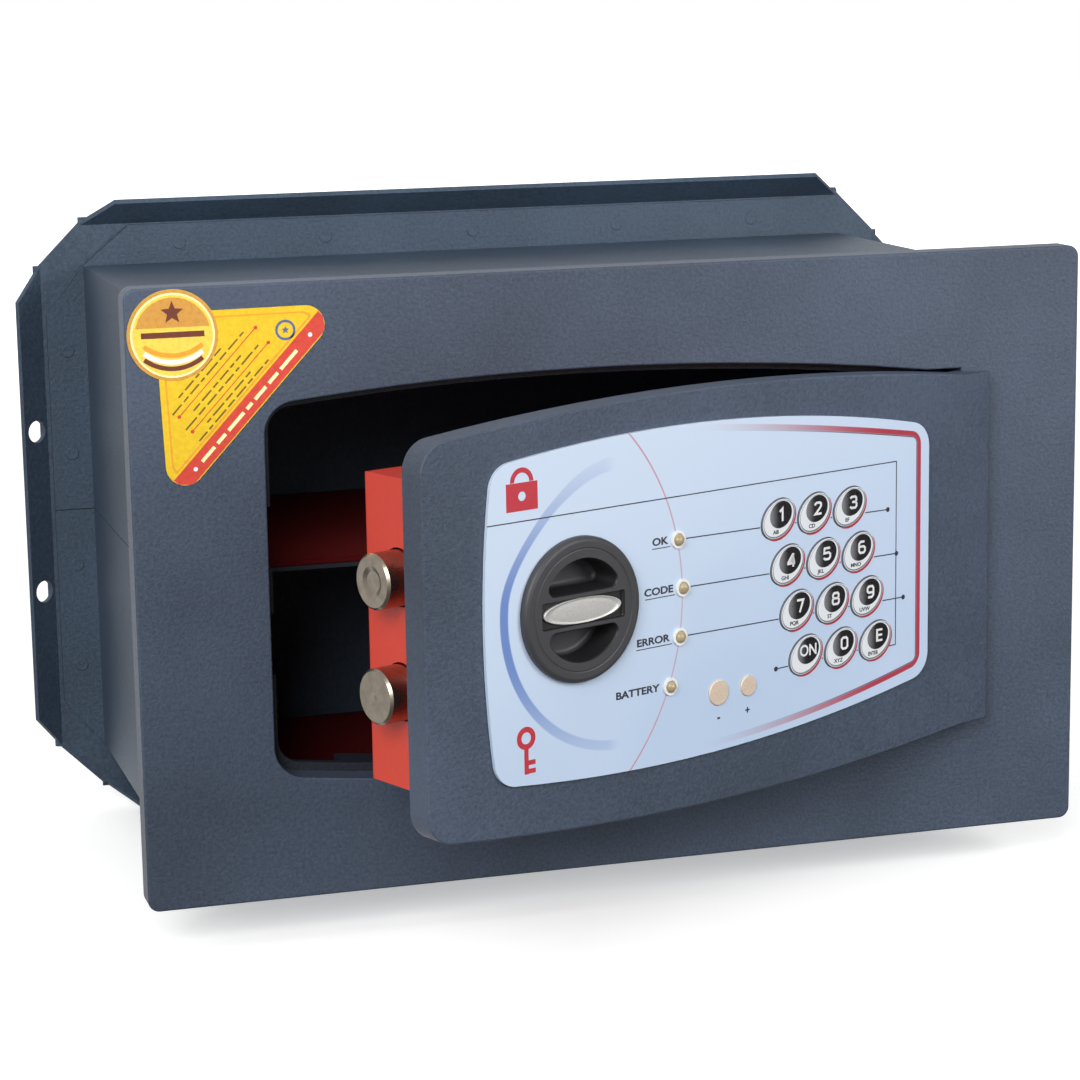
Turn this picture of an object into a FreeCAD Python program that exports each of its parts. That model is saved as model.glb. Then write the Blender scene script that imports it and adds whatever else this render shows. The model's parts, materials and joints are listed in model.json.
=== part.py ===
"""Electronic wall safe: a steel body for building into a wall, a laser-cut door on
swan-neck hinges, a knob-driven bolt work behind a red cover, and a twelve-key pad.

Millimetres. +Z is up, +X is to the right seen from the front, +Y points into the wall.
The origin is the centre of the rear face of the anchor plate, so the front face is at
Y = -DEPTH. The door group is built shut, with its front flush, and is then swung open
by DOOR_AJAR about the hinge axis.
"""
import FreeCAD, Part
import math
import os

V = FreeCAD.Vector
X_AXIS = V(1, 0, 0)
Y_AXIS = V(0, 1, 0)
Z_AXIS = V(0, 0, 1)

# ---- driving dimensions -------------------------------------------------------------
DEPTH = 195.0            # front face to wall face
FRONT = -DEPTH           # Y of the front face
PLATE_W = 340.0
PLATE_H = 210.0
PLATE_T = 10.0
PLATE_CORNER = 4.0
SHEET = 2.0              # body and anchor sheet

BODY_W = 311.0           # outside of the body box
BODY_H = 189.0
SEAM = 0.15              # half of the gap between the two body shells
FLANGE_W = 15.0          # rear flanges of the shells
FLANGE_CUT = 18.0        # their sloping ends

ANCHOR_W = 345.0         # rear anchor plate
ANCHOR_H = 222.0
ANCHOR_CHAMFER = 16.0
WING_TAPER = 13.0
SIDE_WING = (10.0, 7.0)  # outwards, forwards
TOP_WING = (9.0, 11.0)
ANCHOR_HOLE_R = 4.25
SIDE_HOLE_Z = 31.5

OPENING_W = 250.0
ARCH_R = 1000.0          # shallow arch of the top and bottom edges
ARCH_TOP = (-10.0, 71.0)             # x and height of the top arch's crown
ARCH_BOTTOM = (0.0, 69.7)            # x and depth of the bottom arch's crown
ARCH_END_X = 112.0       # where the arch turns into a level edge at the hinge side
OPENING_CORNER = 11.0
GAP = 0.8                # between door and opening
HINGE_GAP = 1.0
DOOR_T = 9.7
DOOR_BEVEL = 6.4         # behind the hinge edge, so that it clears the opening

STOP_PROUD = 3.0         # door stop inside the opening's outline
STOP_T = 3.0
STOP_LIP = 10.0

HINGE_X = 146.0
HINGE_Y = FRONT + 20.0
HINGE_PIN_R = 3.0
RUNNING = 0.05           # radial running clearance
KNUCKLE_R = 7.0
ARM_Z = 55.0
ARM_T = 5.0
ARM_BEND_R = 31.0
ARM_W = 9.0
DOOR_AJAR = 21.8         # degrees, as stored

BOX_X = (-114.0, 98.0)   # red cover over the lock work
BOX_H = 100.0
BOX_BACK = FRONT + 45.0
BOX_T = 1.5

BOLT_Z = 18.4            # bolts sit this far above and below the middle
BOLT_Y = FRONT + 26.6
BOLT_FACE_X = -124.5     # face of the bolt heads, part thrown
BOLT_R = 9.0
BOLT_CHAMFER = 0.8
BOLT_CLEAR = 0.5         # radial, in the cover's holes
BOLT_TAIL_R = 3.0
CARRIAGE_X = -100.0      # lock-side face of the bolt carriage

KNOB_X = -64.7
KNOB_Z = 5.5
KNOB_R = 23.6
KNOB_PROUD = 2.7         # rim above the panel
KNOB_CUP_R = 18.0        # sunk part, in the door's hole
KNOB_HOLE_R = 18.6
KNOB_HOLLOW_R = 16.6
KNOB_FLOOR = 1.8
KNOB_NOSE_R = 4.0
KNOB_BACK = FRONT + 9.3
KNOB_BAR = 11.8          # finger bar between the pockets
JOURNAL_R = 5.0
SPINDLE_TAIL_R = 3.5
CRANK_R = 8.84
CRANK_PIN_R = 2.5
CRANK_REST = -4.9        # degrees from straight up, towards the hinge

LABEL_T = 1.2
KEY_SIZE = (7.9, 6.1)    # half axes of an oval key
KEY_TILT = 33.0
KEY_PITCH = (16.45, 16.1)            # along and between the rows
KEY_FIRST = (21.2, 23.5)
KEY_STAGGER = 4.15       # each row starts this much further right
KEY_PROUD = 0.8
KEY_CLEAR = 0.25
KEY_STEM_R = 3.5
KEY_HEEL = 0.75          # the cap's back is this far in front of the door
STEM_BACK = FRONT + 11.0 # lamp and contact stems end here
KEY_ROWS = (("1", "2", "3"), ("4", "5", "6"), ("7", "8", "9"), ("on", "0", "enter"))

LED_PLACES = ((-22.8, 22.3), (-21.0, 6.1), (-22.4, -10.0), (-26.7, -26.0))
LED_HOLE_R = 1.9
CONTACT_MINUS = (-5.6, -31.5, 4.3)       # x, z, radius
CONTACT_PLUS = (7.6, -31.3, 3.5)
CONTACT_HOLE_R = 1.6

BATTERY_X = (24.0, 90.0)                 # battery tray, left and right
BATTERY_BAY = 18.0                       # its depth
SCREW_PLACES = ((-108.0, -37.5), (-108.0, 37.5), (8.0, -37.5), (8.0, 37.5))
SCREW_R = 1.5
SOLENOID_X = -60.0
SOLENOID_Y = FRONT + 21.5
SOLENOID_TOP = -33.0
PLUNGER_R = 2.5
PLUNGER_TOP = -26.9
COLLAR_T = 1.0
SPRING_WIRE_R = 0.3
SPRING_R = 3.2
SPRING_TURNS = 4

BOARD_T = 1.6

SHELF_Z = -1.0
SHELF_T = 1.5
SHELF_FRONT = FRONT + 54.0
FELT_T = 2.0
STICKER_T = 0.3
STICKER_DISC = (-154.3, 89.4)
STICKER_DISC_R = 15.0
STICKER_CORNERS = ((-160.2, 96.8), (-95.2, 97.2), (-157.6, 30.4))
STICKER_FILLET = 6.5


# ---- helpers ------------------------------------------------------------------------
def box(x0, x1, y0, y1, z0, z1):
    return Part.makeBox(x1 - x0, y1 - y0, z1 - z0, V(x0, y0, z0))


def rod(radius, start, axis, length):
    return Part.makeCylinder(radius, length, start, axis)


def y_rod(radius, x, z, y0, y1):
    return rod(radius, V(x, y0, z), Y_AXIS, y1 - y0)


def fuse(first, *others):
    return first.multiFuse(list(others)).removeSplitter()


def cut(first, *others):
    for other in others:
        first = first.cut(other)
    return first


def slab(wire, y0, y1):
    """A flat outline in the XZ plane, given thickness along Y."""
    face = Part.Face(wire)
    face.translate(V(0, y0, 0))
    return face.extrude(V(0, y1 - y0, 0))


def polygon_xz(points):
    corners = [V(x, 0, z) for x, z in points]
    return Part.makePolygon(corners + [corners[0]])


def edges_along_y(solid):
    return [e for e in solid.Edges if abs(e.tangentAt(e.FirstParameter).y) > 0.99]


def rounded_rectangle(x0, x1, z0, z1, radius, y0, y1):
    solid = box(x0, x1, y0, y1, z0, z1)
    return solid.makeFillet(radius, edges_along_y(solid))


def oval(x, z, half_long, half_short, tilt, y0, y1):
    ellipse = Part.Ellipse(V(0, 0, 0), half_long, half_short)
    wire = Part.Wire([ellipse.toShape()])
    wire.rotate(V(0, 0, 0), X_AXIS, 90)
    wire.rotate(V(0, 0, 0), Y_AXIS, -tilt)
    wire.translate(V(x, 0, z))
    return slab(wire, y0, y1)


def lies_in_plane(edge, y):
    return abs(edge.BoundBox.YMin - y) < 1e-4 and abs(edge.BoundBox.YMax - y) < 1e-4


def round_front_edges(solid, radius, y):
    """Soften the edges that lie in the plane of the given Y."""
    return solid.makeFillet(radius, [e for e in solid.Edges if lies_in_plane(e, y)])


def arch_outline(inset, left, right):
    """Door-shaped outline: arched top and bottom, level where they near the hinges."""
    radius = ARCH_R - inset

    def height(x, crown):
        return crown[1] - ARCH_R + math.sqrt(radius ** 2 - (x - crown[0]) ** 2)

    def arch(start, crown, end, side):
        ends = [V(x, 0, side * height(x, crown)) for x in (start, crown[0], end)]
        return Part.Arc(*ends).toShape()

    end_x = ARCH_END_X
    top = height(end_x, ARCH_TOP)
    bottom = -height(end_x, ARCH_BOTTOM)
    return Part.Wire([
        arch(left, ARCH_TOP, end_x, 1),
        Part.makeLine(V(end_x, 0, top), V(right, 0, top)),
        Part.makeLine(V(right, 0, top), V(right, 0, bottom)),
        Part.makeLine(V(right, 0, bottom), V(end_x, 0, bottom)),
        arch(end_x, ARCH_BOTTOM, left, -1),
        Part.makeLine(V(left, 0, -height(left, ARCH_BOTTOM)), V(left, 0, height(left, ARCH_TOP)))])


def arch_slab(inset, left, right, corner, y0, y1):
    """The arched outline as a slab, with round corners on the lock side only."""
    solid = slab(arch_outline(inset, left, right), y0, y1)
    lock_side = [e for e in solid.Edges if abs(e.BoundBox.XMin - left) < 1e-4
                 and abs(e.BoundBox.XMax - left) < 1e-4 and e.BoundBox.YLength > 0.5]
    return solid.makeFillet(corner, lock_side)


# ---- fixed body ---------------------------------------------------------------------
def front_plate():
    plate = rounded_rectangle(-PLATE_W / 2, PLATE_W / 2, -PLATE_H / 2, PLATE_H / 2,
                              PLATE_CORNER, FRONT, FRONT + PLATE_T)
    plate = round_front_edges(plate, 0.8, FRONT)
    opening = arch_slab(0, -OPENING_W / 2, OPENING_W / 2, OPENING_CORNER,
                        FRONT, FRONT + PLATE_T + 1)
    plate = plate.cut(opening)
    reach = OPENING_W / 2 + 1
    mouth = [e for e in plate.Edges if lies_in_plane(e, FRONT)
             and e.BoundBox.XMin > -reach and e.BoundBox.XMax < reach]
    return plate.makeFillet(0.6, mouth)


def body_shell(side):
    """Half of the body box, folded from sheet; side is +1 for the upper half."""
    half_w = BODY_W / 2
    top = BODY_H / 2
    back = -SHEET
    y0 = FRONT + PLATE_T
    roof = box(-half_w, half_w, y0, back, top - SHEET, top)
    left = box(-half_w, -half_w + SHEET, y0, back, SEAM, top)
    right = box(half_w - SHEET, half_w, y0, back, SEAM, top)
    top_flange = slab(polygon_xz([(-half_w, top), (-half_w + FLANGE_CUT, top + FLANGE_W),
                                  (half_w - FLANGE_CUT, top + FLANGE_W), (half_w, top)]),
                      back - SHEET, back)
    side_flanges = [
        slab(polygon_xz([(s * half_w, top), (s * (half_w + FLANGE_W), top - FLANGE_CUT),
                         (s * (half_w + FLANGE_W), SEAM), (s * half_w, SEAM)]),
             back - SHEET, back)
        for s in (-1, 1)]
    shell = fuse(roof, left, right, top_flange, *side_flanges)
    if side < 0:
        shell = shell.mirror(V(0, 0, 0), Z_AXIS)
    return shell


def wing(half_length, out, forward, edge_distance):
    """A folded wing along +Z of the anchor plate, tapered towards its free edge."""
    slope = math.hypot(out, forward)
    outline = Part.makePolygon([V(-half_length, 0, 0), V(-half_length + WING_TAPER, 0, slope),
                                V(half_length - WING_TAPER, 0, slope), V(half_length, 0, 0),
                                V(-half_length, 0, 0)])
    blank = Part.Face(outline).extrude(V(0, -SHEET, 0))
    blank.rotate(V(0, 0, 0), X_AXIS, math.degrees(math.atan2(forward, out)))
    blank.translate(V(0, 0, edge_distance))
    return blank


def wing_hole(along, out, forward, edge_distance):
    """A hole square to the folded wing, halfway up its slope."""
    length = 12.0
    hole = rod(ANCHOR_HOLE_R, V(along, length / 2, math.hypot(out, forward) / 2), -Y_AXIS, length)
    hole.rotate(V(0, 0, 0), X_AXIS, math.degrees(math.atan2(forward, out)))
    hole.translate(V(0, 0, edge_distance))
    return hole


def rear_anchor_plate():
    w = ANCHOR_W / 2
    h = ANCHOR_H / 2
    c = ANCHOR_CHAMFER
    plate = slab(polygon_xz([(-w + c, h), (w - c, h), (w, h - c), (w, -h + c),
                             (w - c, -h), (-w + c, -h), (-w, -h + c), (-w, h - c)]), -SHEET, 0)
    pieces = []
    holes = []
    for turn in (0, 90, 180, 270):
        sideways = turn in (90, 270)
        half, edge, size = (h - c, w, SIDE_WING) if sideways else (w - c, h, TOP_WING)
        fold = rod(SHEET, V(-half, 0, edge), X_AXIS, 2 * half)
        fold = fold.common(box(-w, w, -SHEET, 0, edge - SHEET, edge + SHEET))
        for piece in (wing(half, size[0], size[1], edge), fold):
            piece.rotate(V(0, 0, 0), Y_AXIS, turn)
            pieces.append(piece)
        for along in (-SIDE_HOLE_Z, SIDE_HOLE_Z) if sideways else ():
            hole = wing_hole(along, size[0], size[1], edge)
            hole.rotate(V(0, 0, 0), Y_AXIS, turn)
            holes.append(hole)
    return cut(fuse(plate, *pieces), *holes)


def door_stop_frame():
    """Stop behind the opening's top, bottom and lock side, notched for the bolt heads."""
    y0 = FRONT + PLATE_T
    y1 = y0 + STOP_T
    left = -OPENING_W / 2
    right = ARCH_END_X
    reach = 12.0
    outer = rounded_rectangle(left - reach, right, -ARCH_BOTTOM[1] - reach, ARCH_TOP[1] + reach,
                              3.0, y0, y1)
    lip = arch_slab(STOP_PROUD - SHEET, left + STOP_PROUD - SHEET, right + 20, OPENING_CORNER - 2,
                    y0, y1 + STOP_LIP)
    lip = lip.common(box(left + 25, right, y0, y1 + STOP_LIP, -90, 90))
    inner = arch_slab(STOP_PROUD, left + STOP_PROUD, right + 20, OPENING_CORNER - 3,
                      y0 - 1, y1 + STOP_LIP + 1)
    frame = cut(outer.fuse(lip), inner)
    notch_half = BOLT_R + 1.5
    notches = [box(left - 4, left + 5, y0 - 1, y1 + 1, s * BOLT_Z - notch_half,
                   s * BOLT_Z + notch_half) for s in (-1, 1)]
    return cut(frame, *notches).removeSplitter()


def shelf():
    inside = BODY_W / 2 - SHEET - 0.3
    return box(-inside, inside, SHELF_FRONT, -SHEET - 0.3, SHELF_Z - SHELF_T, SHELF_Z)


def shelf_felt():
    inside = BODY_W / 2 - SHEET - 1.5
    return box(-inside, inside, SHELF_FRONT + 0.5, -SHEET - 1.5, SHELF_Z, SHELF_Z + FELT_T)


def floor_felt():
    inside = BODY_W / 2 - SHEET - 1.0
    floor = -BODY_H / 2 + SHEET
    return box(-inside, inside, FRONT + PLATE_T + 16, -SHEET - 1.0, floor, floor + FELT_T)


def shelf_rail(side):
    """Angle strip welded to the side wall under the shelf."""
    wall = BODY_W / 2 - SHEET
    top = SHELF_Z - SHELF_T
    y0 = SHELF_FRONT + 4
    y1 = -8.0
    width = 12.0
    leg = box(wall - SHELF_T, wall, y0, y1, top - width, top)
    ledge = box(wall - width, wall, y0, y1, top - SHELF_T, top)
    rail = fuse(leg, ledge)
    if side < 0:
        rail = rail.mirror(V(0, 0, 0), X_AXIS)
    return rail


def hinge_bracket(side):
    """U bracket welded behind the front plate: two ears and a web."""
    y0 = FRONT + PLATE_T
    z = side * ARM_Z
    ear_gap = ARM_T / 2 + 1.0
    ear_t = 3.5
    x0 = HINGE_X - 9
    x1 = HINGE_X + KNUCKLE_R
    web = box(x0, x1, y0, y0 + 2.5, z - ear_gap - ear_t, z + ear_gap + ear_t)
    ears = []
    for s in (-1, 1):
        z0 = min(z + s * ear_gap, z + s * (ear_gap + ear_t))
        ear = box(x0, x1, y0, HINGE_Y, z0, z0 + ear_t)
        nose = rod(KNUCKLE_R, V(HINGE_X, HINGE_Y, z0), Z_AXIS, ear_t)
        ears += [ear, nose]
    bracket = fuse(web, *ears)
    return bracket.cut(rod(HINGE_PIN_R, V(HINGE_X, HINGE_Y, z - 30), Z_AXIS, 60))


def hinge_pin(side):
    z = side * ARM_Z
    length = 18.0
    pin = rod(HINGE_PIN_R, V(HINGE_X, HINGE_Y, z - length / 2), Z_AXIS, length)
    head = rod(HINGE_PIN_R + 1.5, V(HINGE_X, HINGE_Y, z + length / 2), Z_AXIS, 1.5)
    return fuse(pin, head)


def hinge_washers():
    washers = []
    for side in (-1, 1):
        z0 = side * ARM_Z - ARM_T / 2 - 1.0
        ring = rod(HINGE_PIN_R + 3, V(HINGE_X, HINGE_Y, z0), Z_AXIS, 0.8)
        washers.append(ring.cut(rod(HINGE_PIN_R + 0.1, V(HINGE_X, HINGE_Y, z0 - 1), Z_AXIS, 3)))
    return Part.makeCompound(washers)


def front_sticker():
    """Blank corner label: a disc joined to a triangle with round corners."""
    y0 = FRONT - STICKER_T
    disc = y_rod(STICKER_DISC_R, STICKER_DISC[0], STICKER_DISC[1], y0, FRONT)
    triangle = slab(polygon_xz(STICKER_CORNERS), y0, FRONT)
    return fuse(disc, triangle.makeFillet(STICKER_FILLET, edges_along_y(triangle)))


# ---- door ---------------------------------------------------------------------------
def key_places():
    """Centre of each oval key, row by row."""
    places = {}
    for row, names in enumerate(KEY_ROWS):
        for column, name in enumerate(names):
            places[name] = (KEY_FIRST[0] + column * KEY_PITCH[0] + row * KEY_STAGGER,
                            KEY_FIRST[1] - row * KEY_PITCH[1])
    return places


def fitting_holes(y0, y1):
    """Holes for the knob, the lamps and the two contacts."""
    holes = [y_rod(KNOB_HOLE_R, KNOB_X, KNOB_Z, y0, y1)]
    for x, z in LED_PLACES:
        holes.append(y_rod(LED_HOLE_R, x, z, y0, y1))
    for x, z, _ in (CONTACT_MINUS, CONTACT_PLUS):
        holes.append(y_rod(CONTACT_HOLE_R, x, z, y0, y1))
    return holes


def door_plate():
    left = -OPENING_W / 2 + GAP
    right = OPENING_W / 2 - HINGE_GAP
    back = FRONT + DOOR_T
    plate = arch_slab(GAP, left, right, OPENING_CORNER - GAP, FRONT, back)
    plate = round_front_edges(plate, 0.5, FRONT)
    land = FRONT + 0.6            # narrow square land in front of the bevel
    bottom = -90
    bevel = Part.makePolygon([V(right + 1, land - 1, bottom), V(right + 1, back + 1, bottom),
                              V(right - DOOR_BEVEL, back + 1, bottom),
                              V(right - DOOR_BEVEL, land + DOOR_BEVEL, bottom),
                              V(right + 1, land - 1, bottom)])
    plate = plate.cut(Part.Face(bevel).extrude(V(0, 0, -2 * bottom)))
    stem_holes = [y_rod(KEY_STEM_R + 0.5, x, z, FRONT - 1, back + 1)
                  for x, z in key_places().values()]
    return cut(plate, *stem_holes, *fitting_holes(FRONT - 1, back + 1))


def label_panel():
    """Control panel on the door: bulging left side, arched top and bottom."""
    top_left = V(-98.0, 0, 54.5)
    top_right = V(92.6, 0, 47.5)
    bottom_right = V(92.6, 0, -40.2)
    bottom_left = V(-98.0, 0, -47.0)
    top = Part.Arc(top_left, V(-32, 0, 59.5), top_right).toShape()
    right = Part.makeLine(top_right, bottom_right)
    bottom = Part.Arc(bottom_right, V(-32, 0, -51.5), bottom_left).toShape()
    left = Part.Arc(bottom_left, V(-101.8, 0, 9.0), top_left).toShape()
    panel = slab(Part.Wire([top, right, bottom, left]), FRONT - LABEL_T, FRONT)
    panel = panel.makeFillet(9.0, edges_along_y(panel))
    key_holes = [oval(x, z, KEY_SIZE[0] + KEY_CLEAR, KEY_SIZE[1] + KEY_CLEAR, KEY_TILT,
                      FRONT - 3, FRONT + 1) for x, z in key_places().values()]
    return cut(panel, *key_holes, *fitting_holes(FRONT - 3, FRONT + 1))


def hinge_arm(side):
    """Swan-neck arm cut from plate: from the door's back, round the opening's edge."""
    z0 = side * ARM_Z - ARM_T / 2
    outer_r = ARM_BEND_R + ARM_W
    back = FRONT + DOOR_T
    ring = rod(outer_r, V(HINGE_X, HINGE_Y, z0), Z_AXIS, ARM_T)
    ring = ring.cut(rod(ARM_BEND_R, V(HINGE_X, HINGE_Y, z0 - 1), Z_AXIS, ARM_T + 2))
    ring = ring.common(box(HINGE_X - outer_r - 1, HINGE_X, back, HINGE_Y + outer_r + 1,
                           z0 - 1, z0 + ARM_T + 1))
    neck = box(HINGE_X - 4.5, HINGE_X + 4.5, HINGE_Y, HINGE_Y + outer_r - 0.3, z0, z0 + ARM_T)
    eye = rod(KNUCKLE_R, V(HINGE_X, HINGE_Y, z0), Z_AXIS, ARM_T)
    foot = box(HINGE_X - 70, HINGE_X - ARM_BEND_R - 1, back, back + 4, z0, z0 + ARM_T)
    arm = fuse(ring, neck, eye, foot)
    return arm.cut(rod(HINGE_PIN_R + RUNNING, V(HINGE_X, HINGE_Y, z0 - 1), Z_AXIS, ARM_T + 2))


def lock_box():
    """Folded cover over the lock work, open towards the door."""
    x0, x1 = BOX_X
    h = BOX_H / 2
    y0 = FRONT + DOOR_T
    outside = box(x0, x1, y0, BOX_BACK, -h, h)
    folds = [e for e in outside.Edges if min(v.Y for v in e.Vertexes) > BOX_BACK - 1e-6]
    outside = outside.makeFillet(1.8, folds)
    inside = box(x0 + BOX_T, x1 - BOX_T, y0 - 1, BOX_BACK - BOX_T, -h + BOX_T, h - BOX_T)
    holes = [rod(BOLT_R + BOLT_CLEAR, V(x0 - 3, BOLT_Y, s * BOLT_Z), X_AXIS, 8)
             for s in (-1, 1)]
    hatch = box(BATTERY_X[0] + 3, BATTERY_X[1] - 3, BOX_BACK - 5, BOX_BACK + 1, -27, 27)
    screw_holes = [y_rod(SCREW_R + 0.25, x, z, BOX_BACK - 5, BOX_BACK + 1)
                   for x, z in SCREW_PLACES]
    return cut(outside, inside, hatch, *holes, *screw_holes)


def box_standoffs():
    """Hexagon pillars between the door and the cover."""
    pillars = []
    corner_r = 3.6
    for x, z in SCREW_PLACES:
        corners = [(x + corner_r * math.cos(math.radians(60 * k)),
                    z + corner_r * math.sin(math.radians(60 * k))) for k in range(6)]
        pillar = slab(polygon_xz(corners), FRONT + DOOR_T, BOX_BACK - BOX_T)
        pillars.append(pillar.cut(y_rod(SCREW_R, x, z, BOX_BACK - 14, BOX_BACK + 1)))
    return Part.makeCompound(pillars)


def box_screws():
    """Button-head screws with a cross slot, through the cover into the pillars."""
    screws = []
    arm = 2.2
    half = 0.4
    floor = BOX_BACK + 1.4
    for x, z in SCREW_PLACES:
        shank = y_rod(SCREW_R, x, z, BOX_BACK - 10, BOX_BACK)
        ball = Part.makeSphere(4.4, V(x, BOX_BACK - 1.6, z))
        head = ball.common(y_rod(3.6, x, z, BOX_BACK, BOX_BACK + 3))
        slots = [box(x - arm, x + arm, floor, floor + 3, z - half, z + half),
                 box(x - half, x + half, floor, floor + 3, z - arm, z + arm)]
        screws.append(cut(fuse(shank, head), *slots))
    return Part.makeCompound(screws)


def knob_bush():
    """Bearing plate on the door's back, with the bush that carries the spindle."""
    y0 = FRONT + DOOR_T
    half = 20.5
    plate = box(KNOB_X - half, KNOB_X + half, y0, y0 + 2.3, KNOB_Z - half, KNOB_Z + half)
    bore = y_rod(JOURNAL_R + RUNNING, KNOB_X, KNOB_Z, y0 - 1, y0 + 4)
    return plate.cut(bore)


def led_bezels():
    rings = []
    back = FRONT - LABEL_T
    for x, z in LED_PLACES:
        ring = y_rod(2.9, x, z, back - 0.7, back)
        rings.append(ring.cut(y_rod(2.1, x, z, back - 2, back + 2)))
    return Part.makeCompound(rings)


def led_lamps():
    lamps = []
    neck = FRONT - LABEL_T - 0.3
    for x, z in LED_PLACES:
        stem = y_rod(1.75, x, z, neck, STEM_BACK)
        dome = Part.makeSphere(2.0, V(x, neck, z))
        dome = dome.common(y_rod(3.0, x, z, neck - 3, FRONT - LABEL_T))
        lamps.append(fuse(stem, dome))
    return Part.makeCompound(lamps)


def contact(place):
    x, z, radius = place
    back = FRONT - LABEL_T
    pad = round_front_edges(y_rod(radius, x, z, back - 0.6, back), 0.3, back - 0.6)
    return fuse(pad, y_rod(1.5, x, z, back, STEM_BACK))


def keypad_board():
    """Circuit board with a push switch behind every key."""
    y0 = FRONT + 13.2
    left = -32.0
    board = box(left, 92, y0, y0 + BOARD_T, -38, 34)
    switches = [box(x - 3, x + 3, y0 - 1.0, y0, z - 3, z + 3) for x, z in key_places().values()]
    sockets = [y_rod(2.4, x, z, STEM_BACK, y0) for x, z in LED_PLACES]
    sockets += [y_rod(2.0, x, z, STEM_BACK, y0) for x, z, _ in (CONTACT_MINUS, CONTACT_PLUS)]
    pillar_holes = [y_rod(4.0, x, z, y0 - 3, y0 + 3) for x, z in SCREW_PLACES if x > left]
    return cut(fuse(board, *switches, *sockets), *pillar_holes)


def control_board():
    """Second board, with a processor, a relay and a capacitor."""
    y0 = FRONT + 17.5
    face = y0 + BOARD_T
    processor = box(-24, -8, face, face + 2.4, 12, 24)
    relay = box(2, 14, face, face + 4.9, 8, 14)
    capacitor = y_rod(3.2, 8, 25, face, face + 9.0)
    return fuse(box(-30, 20, y0, face, 3, 33), processor, relay, capacitor)


def battery_tray():
    x0, x1 = BATTERY_X
    y1 = BOX_BACK - BOX_T
    y0 = y1 - BATTERY_BAY
    half = 29.0
    wall = 1.5
    tray = box(x0, x1, y0, y1, -half, half)
    return tray.cut(box(x0 + wall, x1 - wall, y0 + wall, y1 + 1, wall - half, half - wall))


def batteries():
    """Four AA cells, alternately up and down."""
    cells = []
    count = 4
    end_gap = 2.0
    half_length = 24.5
    pitch = (BATTERY_X[1] - BATTERY_X[0] - 2 * end_gap) / count
    y = BOX_BACK - BOX_T - BATTERY_BAY / 2
    for i in range(count):
        x = BATTERY_X[0] + end_gap + pitch * (i + 0.5)
        up = 1 if i % 2 == 0 else -1
        can = rod(7.1, V(x, y, -half_length), Z_AXIS, 2 * half_length)
        cap = rod(2.7, V(x, y, up * half_length), V(0, 0, up), 1.4)
        cells.append(fuse(can, cap))
    return Part.makeCompound(cells)


def battery_cover():
    x0, x1 = BATTERY_X
    cover = rounded_rectangle(x0, x1, -30, 30, 3.0, BOX_BACK, BOX_BACK + 2.0)
    plug = box(x0 + 3.2, x1 - 3.2, BOX_BACK - 1.5, BOX_BACK, -26.8, 26.8)
    grip = box(x0 + 25, x1 - 25, BOX_BACK + 0.8, BOX_BACK + 3, 20, 24)
    return fuse(cover, plug).cut(grip)


def solenoid_body():
    y0 = FRONT + 14.0
    frame = box(SOLENOID_X - 11, SOLENOID_X + 11, y0, y0 + 15, -48.0, SOLENOID_TOP)
    return frame.cut(rod(PLUNGER_R + 2 * RUNNING, V(SOLENOID_X, SOLENOID_Y, -49), Z_AXIS, 20))


def solenoid_plunger():
    low = -43.4
    pin = rod(PLUNGER_R, V(SOLENOID_X, SOLENOID_Y, low), Z_AXIS, PLUNGER_TOP - low)
    collar = rod(4.2, V(SOLENOID_X, SOLENOID_Y, PLUNGER_TOP - 0.2 - COLLAR_T), Z_AXIS, COLLAR_T)
    return fuse(pin, collar)


def plunger_spring():
    """Cylindrical coil spring between the solenoid and the plunger's collar."""
    bottom = SOLENOID_TOP + SPRING_WIRE_R
    top = PLUNGER_TOP - 0.2 - COLLAR_T - SPRING_WIRE_R
    height = top - bottom
    helix = Part.makeHelix(height / SPRING_TURNS, height, SPRING_R)
    profile = Part.Wire([Part.makeCircle(SPRING_WIRE_R, V(SPRING_R, 0, 0), Y_AXIS)])
    spring = Part.Wire(helix).makePipeShell([profile], True, True)
    spring.translate(V(SOLENOID_X, SOLENOID_Y, bottom))
    return spring


def carriage_guides():
    """Fixed blocks above and below the bolt carriage."""
    y0 = FRONT + DOOR_T
    y1 = FRONT + 25.0
    spans = ((-92, -42, 27.0, 31.0), (-92, -77, -31.0, -27.0), (-49, -42, -31.0, -27.0))
    return Part.makeCompound([box(x0, x1, y0, y1, z0, z1) for x0, x1, z0, z1 in spans])


def wiring():
    """Lead from the control board down to the solenoid."""
    radius = 1.2
    bend = 6.0
    x0 = -33.0
    y = FRONT + 24.0
    z_top = 6.0
    z_low = -40.5
    x_end = SOLENOID_X + 11.0
    down = Part.makeLine(V(x0, y, z_top), V(x0, y, z_low + bend))
    diagonal = bend * math.sqrt(0.5)
    mid = V(x0 - bend + diagonal, y, z_low + bend - diagonal)
    turn = Part.Arc(V(x0, y, z_low + bend), mid, V(x0 - bend, y, z_low)).toShape()
    across = Part.makeLine(V(x0 - bend, y, z_low), V(x_end, y, z_low))
    profile = Part.Wire([Part.makeCircle(radius, V(x0, y, z_top), Z_AXIS)])
    return Part.Wire([down, turn, across]).makePipeShell([profile], True, True)


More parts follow.
